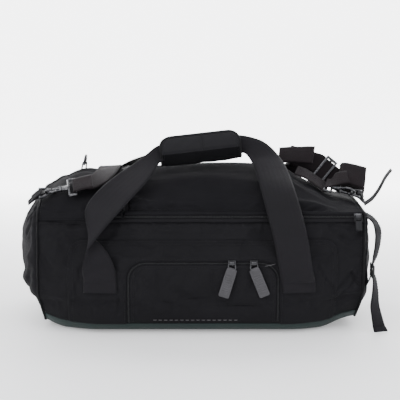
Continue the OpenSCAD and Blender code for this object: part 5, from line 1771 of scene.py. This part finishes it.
st = [[loc(RT, RTR, [-9, -5.5, -3.2]), loc(RT, RTR, [-9, 5.5, -3.2])], [loc(RT, RTR, [-4, -5.5, -3.1]), loc(RT, RTR, [-4, 5.5, -3.1])]]
for g in np.radians(np.arange(-90, 91, 22.5)):
    st.append([loc(RT, RTR, [3.1 * math.cos(g), -5.5, 3.1 * math.sin(g)]), loc(RT, RTR, [3.1 * math.cos(g), 5.5, 3.1 * math.sin(g)])])
st += [[loc(RT, RTR, [-4, -5.5, 3.1]), loc(RT, RTR, [-4, 5.5, 3.1])], [loc(RT, RTR, [-9, -5.5, 3.2]), loc(RT, RTR, [-9, 5.5, 3.2])]]
o, _, _, _, _ = web("rear_tab", st, 1.6, M_WEB, 5, 6)
done(o, "root", "handle_webbing", "rear_ring_tab")

# ------------------------------------------------------------------ side strap
side1 = [[[240, -108, 166], [243, -88, 175]], [[249, -112, 168], [253, -91, 173]], [[259, -117, 162], [266, -97, 165]],
         [[263, -121, 148], [275, -102, 150]], [[263, -121.5, 129], [275, -103, 131]], [[260.5, -121, 110], [271, -101, 111]],
         [[260, -120, 98.5], [266, -98, 98.5]], [[259.4, -120, 93], [265.6, -98, 93]]]
o1, p1, s1, _, _ = web("side_strap_web", side1, 1.7, M_WEB, 8, 10, soft_bend(0.5))
done(o1, "root", "handle_webbing", "side_strap")
side2 = [[[259.2, -120, 84], [265.4, -98, 84]], [[261, -124, 76], [269, -104, 76]], [[259.5, -129, 58], [272, -110, 57]],
         [[257, -132, 40], [273, -116, 39]], [[259, -134, 23], [277, -121, 22]], [[261, -135, 9], [281, -126, 8]], [[263, -136, 1.6], [284, -129, 1.6]]]
o2, p2, s2, _, _ = web("side_strap_tail_web", side2, 1.7, M_WEB, 8, 10, soft_bend(0.5))
done(o2, "root", "handle_webbing", "side_strap_tail")
hem = [[np.array(a) + [0.6, -1.6, 0.2], np.array(b) + [0.6, -1.6, 0.2]] for a, b in side2[-2:]]
o3, _, _, _, _ = web("side_strap_hem", hem, 1.5, M_WEB, 8, 10, soft_bend(0.5))
done(o3, "root", "handle_webbing")
tab = [[[252, -116.5, 66], [258, -95, 66]], [[255.5, -118, 73], [261, -97, 73]], [[258, -119.5, 81], [263.5, -98, 81]], [[260.2, -119.8, 84.5], [266.2, -97.8, 84.5]]]
o4, _, _, _, _ = web("ladder_tab_web", tab, 1.7, M_WEB, 8, 10, None)
done(o4, "root", "handle_webbing", "ladder_lock_tab")
end_tail = [[[250, -104, 184], [251, -84, 187]], [[262, -104, 193], [263, -82, 195]], [[272, -103, 207], [273, -80, 208]], [[281, -101, 224], [282, -79, 225]], [[290, -100, 236], [291, -79, 237]]]
o5, _, _, _, _ = web("side_strap_end", end_tail, 1.6, M_WEB, 8, 10, soft_bend(0.4))
done(o5, "root", "handle_webbing")
q = Stitches()
for p_, s_ in ((p1, s1), (p2, s2)):
    web_stitch(q, p_, 120, (0.1, 0.9))
done(q.make("side_strap_stitches", M_THREAD), "root", "handle_webbing")

done(ST.make("seam_stitches", M_THREAD), "root", "body_fabric")
done(STL.make("lid_stitches", M_THREAD), "lid", "body_fabric")
done(STF.make("flap_stitches", M_THREAD), "pocket_flap", "body_fabric")
SC = Stitches()
SC.run(O(np.linspace(-62, 64, 120), 2.24, 2.6), NRM(np.linspace(-62, 64, 120), 2.24), length=5.2, gap=2.6, r=0.55)
done(SC.make("contrast_stitches", M_LIGHT), "pocket_flap", "body_fabric")
# one long light stitch along the right end of the pocket zip: a painted highlight on the zip's edge
ZIP_HIGHLIGHT = Stitches()
ZIP_HIGHLIGHT.run(O(np.linspace(101, 118, 10), np.linspace(4.03, 4.12, 10), 4.2), NRM(np.linspace(101, 118, 10), 4.07), length=14, gap=1.0, r=0.4)
done(ZIP_HIGHLIGHT.make("painted_zip_highlight", M_LIGHT), "pocket_flap", "body_fabric")

# ------------------------------------------------------------------ hardware


def soften(node, width, mat, name, body, slot_name, seg=2):
    """The CAD piece with its edges rounded, as a cast or moulded one has."""
    import bmesh
    src = frame["nodes"][node]
    bm = bmesh.new()
    bm.from_mesh(src.data)
    bmesh.ops.remove_doubles(bm, verts=bm.verts, dist=2e-6)
    bmesh.ops.dissolve_limit(bm, angle_limit=math.radians(2.0), verts=bm.verts, edges=bm.edges)
    bmesh.ops.recalc_face_normals(bm, faces=bm.faces)
    es = [e for e in bm.edges if len(e.link_faces) == 2 and e.calc_face_angle(0) > math.radians(38)]
    try:
        bmesh.ops.bevel(bm, geom=es, offset=width * 0.001, segments=seg, profile=0.6, affect="EDGES", clamp_overlap=True)
    except Exception as ex:
        print("bevel", node, ex)
    bmesh.ops.triangulate(bm, faces=[f for f in bm.faces if len(f.verts) > 4])
    me = bpy.data.meshes.new(name)
    bm.to_mesh(me)
    bm.free()
    me.materials.append(mat)
    me.polygons.foreach_set("use_smooth", np.ones(len(me.polygons), bool))
    me.set_sharp_from_angle(angle=math.radians(50))
    o = link(bpy.data.objects.new(name, me))
    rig.ride(o, body)
    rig.slot(o, slot_name)
    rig.replaces(o, node)
    return o


soften("strap_glide", 0.7, M_STEEL2, "glide", "strap_glide", "hardware_metal")
soften("ladder_lock", 0.7, M_PLASTIC, "ladder", "root", "buckle_plastic")
soften("main_slider", 0.5, M_SLIDER, "zip_slider_main", "main_slider", "slider_metal")
soften("main_pull", 0.5, M_PULLD, "zip_pull_main", "main_pull", "pull_dark")
soften("pocket_slider_left", 0.5, M_SLIDER, "zip_slider_left", "pocket_slider_left", "slider_metal")
soften("pocket_slider_right", 0.5, M_SLIDER, "zip_slider_right", "pocket_slider_right", "slider_metal")

P_EDGE = O0(54, PZ + 1.4 / 90, 1.05)
PPY, PPZ = P_EDGE[1] - 4.4, P_EDGE[2] - 0.15


def pull_tag(name, x, lean, body, gone):
    """A wire link through the bail and a moulded tag with plain ribs."""
    a = math.radians(lean)
    Rl = np.array([[math.cos(a), 0, math.sin(a)], [0, 1, 0], [-math.sin(a), 0, math.cos(a)]])
    base_p = np.array([x, PPY, PPZ])
    # link
    k = []
    for px, pz in ((-5.2, 0), (-5.2, -6.2), (5.2, -6.2), (5.2, 0)):
        k.append((px, pz))
    path = []
    corners = [(-5.0, -0.2), (-5.2, -7.4), (5.2, -7.4), (5.0, -0.2)]
    for i in range(4):
        p0, p1, p2 = np.array(corners[i - 1]), np.array(corners[i]), np.array(corners[(i + 1) % 4])
        d0, d1 = (p0 - p1) / np.linalg.norm(p0 - p1), (p2 - p1) / np.linalg.norm(p2 - p1)
        for u in np.linspace(0, 1, 6):
            q = p1 + d0 * 1.8 * (1 - u) ** 2 + d1 * 1.8 * u ** 2
            path.append([q[0], -1.2 * sm(0, -7, q[1]) * 2.6, q[1]])
    path = np.array(path)
    lk = tube(name + "_link", base_p + path, 0.95, M_SLIDER, True, 10)
    done(lk, body, "slider_metal")
    # tag: rounded outline, ribs across the middle
    W, L, T = 8.0, 44.0, 1.7
    nx_, nz_ = 26, 92
    zz = np.linspace(0, 1, nz_)
    uu = np.linspace(-1, 1, nx_)
    rc = 2.6
    zz_mm = 1.0 - zz * L
    end = np.minimum(zz * L, (1 - zz) * L)
    wz = W - np.where(end < rc, rc - np.sqrt(np.maximum(0, rc * rc - (rc - np.clip(end, 0, rc)) ** 2)), 0)
    wz = wz * (0.94 + 0.06 * sm(0, 10, zz * L))
    X = uu[None] * wz[:, None]
    Z = np.repeat(zz_mm[:, None], nx_, 1)
    ed = np.minimum(wz[:, None] - np.abs(X), end[:, None])
    thick = T * np.sqrt(np.clip(1 - (1 - np.clip(ed / 1.3, 0, 1)) ** 2, 0, 1)) * 0.95
    ribs = 0.42 * sm(0.25, 0.75, 0.5 + 0.5 * np.sin((Z + 3) * 2 * math.pi / 3.3)) * sm(0.0, 1.2, 30 - np.abs(Z + 21.5) * 2.0) * sm(0, 1.0, W - 2.2 - np.abs(X))
    rim = 0.22 * np.exp(-((ed - 1.1) / 0.5) ** 2)
    FR3 = np.stack([X, -thick - ribs * 1.0 - rim, Z], -1)
    BK3 = np.stack([X, thick * 0.9, Z], -1)
    org = base_p + np.array([0, -4.35, -7.2])
    tag = shell(name + "_tag", org + FR3 @ Rl.T, org + BK3 @ Rl.T, np.stack([X + 10, Z + 60], -1), [M_PULL, M_PULL])
    fixn(tag)
    done(tag, body, "pull_grey", gone)
    # the sleeve at the tag's top that holds the link
    sl = tube(name + "_sleeve", org + (np.array([[-4.4, 1.6, 0.2], [-3.0, 1.6, 0.2], [0, 1.6, 0.2], [3.0, 1.6, 0.2], [4.4, 1.6, 0.2]])) @ Rl.T, 1.75, M_PULL, False, 12)
    done(sl, body, "pull_grey")


pull_tag("pull_left", 54, 17, "pocket_pull_left", "pocket_pull_left")
pull_tag("pull_right", 86, -22, "pocket_pull_right", "pocket_pull_right")

for nm, mt in (("left_ring", M_STEEL), ("right_ring", M_STEEL), ("rear_ring", M_STEEL), ("left_hook", M_STEEL2), ("right_hook", M_STEEL2),
               ("left_hook_gate", M_STEEL2), ("right_hook_gate", M_STEEL2), ("left_hook_eye", M_STEEL2), ("right_hook_eye", M_STEEL2),
               ("base_board", M_LINING)):
    o = frame["nodes"][nm]
    o.data.materials.clear()
    o.data.materials.append(mt)
    o.data.polygons.foreach_set("use_smooth", np.ones(len(o.data.polygons), bool))
    o.data.set_sharp_from_angle(angle=math.radians(42))

# ------------------------------------------------------------------ room
mf, ntf, bf = nodes_of("studio_paper")
kf = NB(ntf)
tcf = kf.new("ShaderNodeTexCoord")
nf = kf.noise(tcf.outputs["Object"], 5.0, 3.0)
kf.link(kf.ramp(nf, [(0.3, (0.80, 0.80, 0.805)), (0.7, (0.83, 0.83, 0.83))]), bf.inputs["Base Color"])
sepf = kf.new("ShaderNodeSeparateXYZ")
kf.link(tcf.outputs["Object"], sepf.inputs[0])
glow = kf.math("MULTIPLY_ADD", kf.math("POWER", kf.math("DIVIDE", kf.math("SUBTRACT", sepf.outputs[1], 0.1), 1.3, None, True), 1.5), 3.4, 0.3)
kf.link(glow, bf.inputs["Emission Strength"])
bf.inputs["Emission Color"].default_value = (1, 1, 1, 1)
bf.inputs["Roughness"].default_value = 0.62
bf.inputs["Specular IOR Level"].default_value = 0.25
prof = [(-3.0, 0.0)] + [(-3.0 + 0.25 * i, 0.0) for i in range(1, 19)]
prof += [(1.5 + 1.0 * math.sin(a), 1.0 - 1.0 * math.cos(a)) for a in np.linspace(0.05, math.pi / 2, 24)]
prof += [(2.5, z) for z in np.linspace(1.1, 4.0, 8)]
fxs_ = np.linspace(-5, 5, 21)
V = [(x * 1000, y * 1000, z * 1000 - 1.05) for (y, z) in prof for x in fxs_]
n21 = len(fxs_)
F = [(i * n21 + j, i * n21 + j + 1, (i + 1) * n21 + j + 1, (i + 1) * n21 + j) for i in range(len(prof) - 1) for j in range(n21 - 1)]
floor = make("studio_floor", V, F, mf, [(v[0] / 10, v[1] / 10) for v in V])
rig.stage(floor)

w = bpy.data.worlds.new("studio")
scene.world = w
w.use_nodes = True
bg = w.node_tree.nodes["Background"]
bg.inputs[0].default_value = (0.93, 0.95, 1.0, 1)
bg.inputs[1].default_value = 1.25


def area(name, loc_, at, size, energy, col=(1, 1, 1), size_y=None):
    d = bpy.data.lights.new(name, "AREA")
    d.shape = "RECTANGLE"
    d.size, d.size_y = size, size_y or size
    d.energy = energy
    d.color = col
    o = link(bpy.data.objects.new(name, d))
    o.location = loc_
    o.rotation_euler = (Vector(at) - Vector(loc_)).to_track_quat("-Z", "Y").to_euler()
    return o


area("top_soft", (-0.25, -0.75, 1.6), (0, 0, 0.15), 1.8, 17, (1, 0.99, 0.98), 1.3)
area("front_left", (-1.5, -1.7, 1.1), (0, 0, 0.12), 1.1, 16)
area("back_rim", (0.6, 1.3, 1.35), (0, 0, 0.2), 1.0, 6, (0.97, 0.98, 1))
area("right_soft", (1.6, -0.9, 0.8), (0.1, 0, 0.12), 0.9, 7)

_lo, _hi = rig.bounds()
json.dump({"cad": cad_box, "visual": [[float(v) for v in _lo], [float(v) for v in _hi]]}, open("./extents.json", "w"))
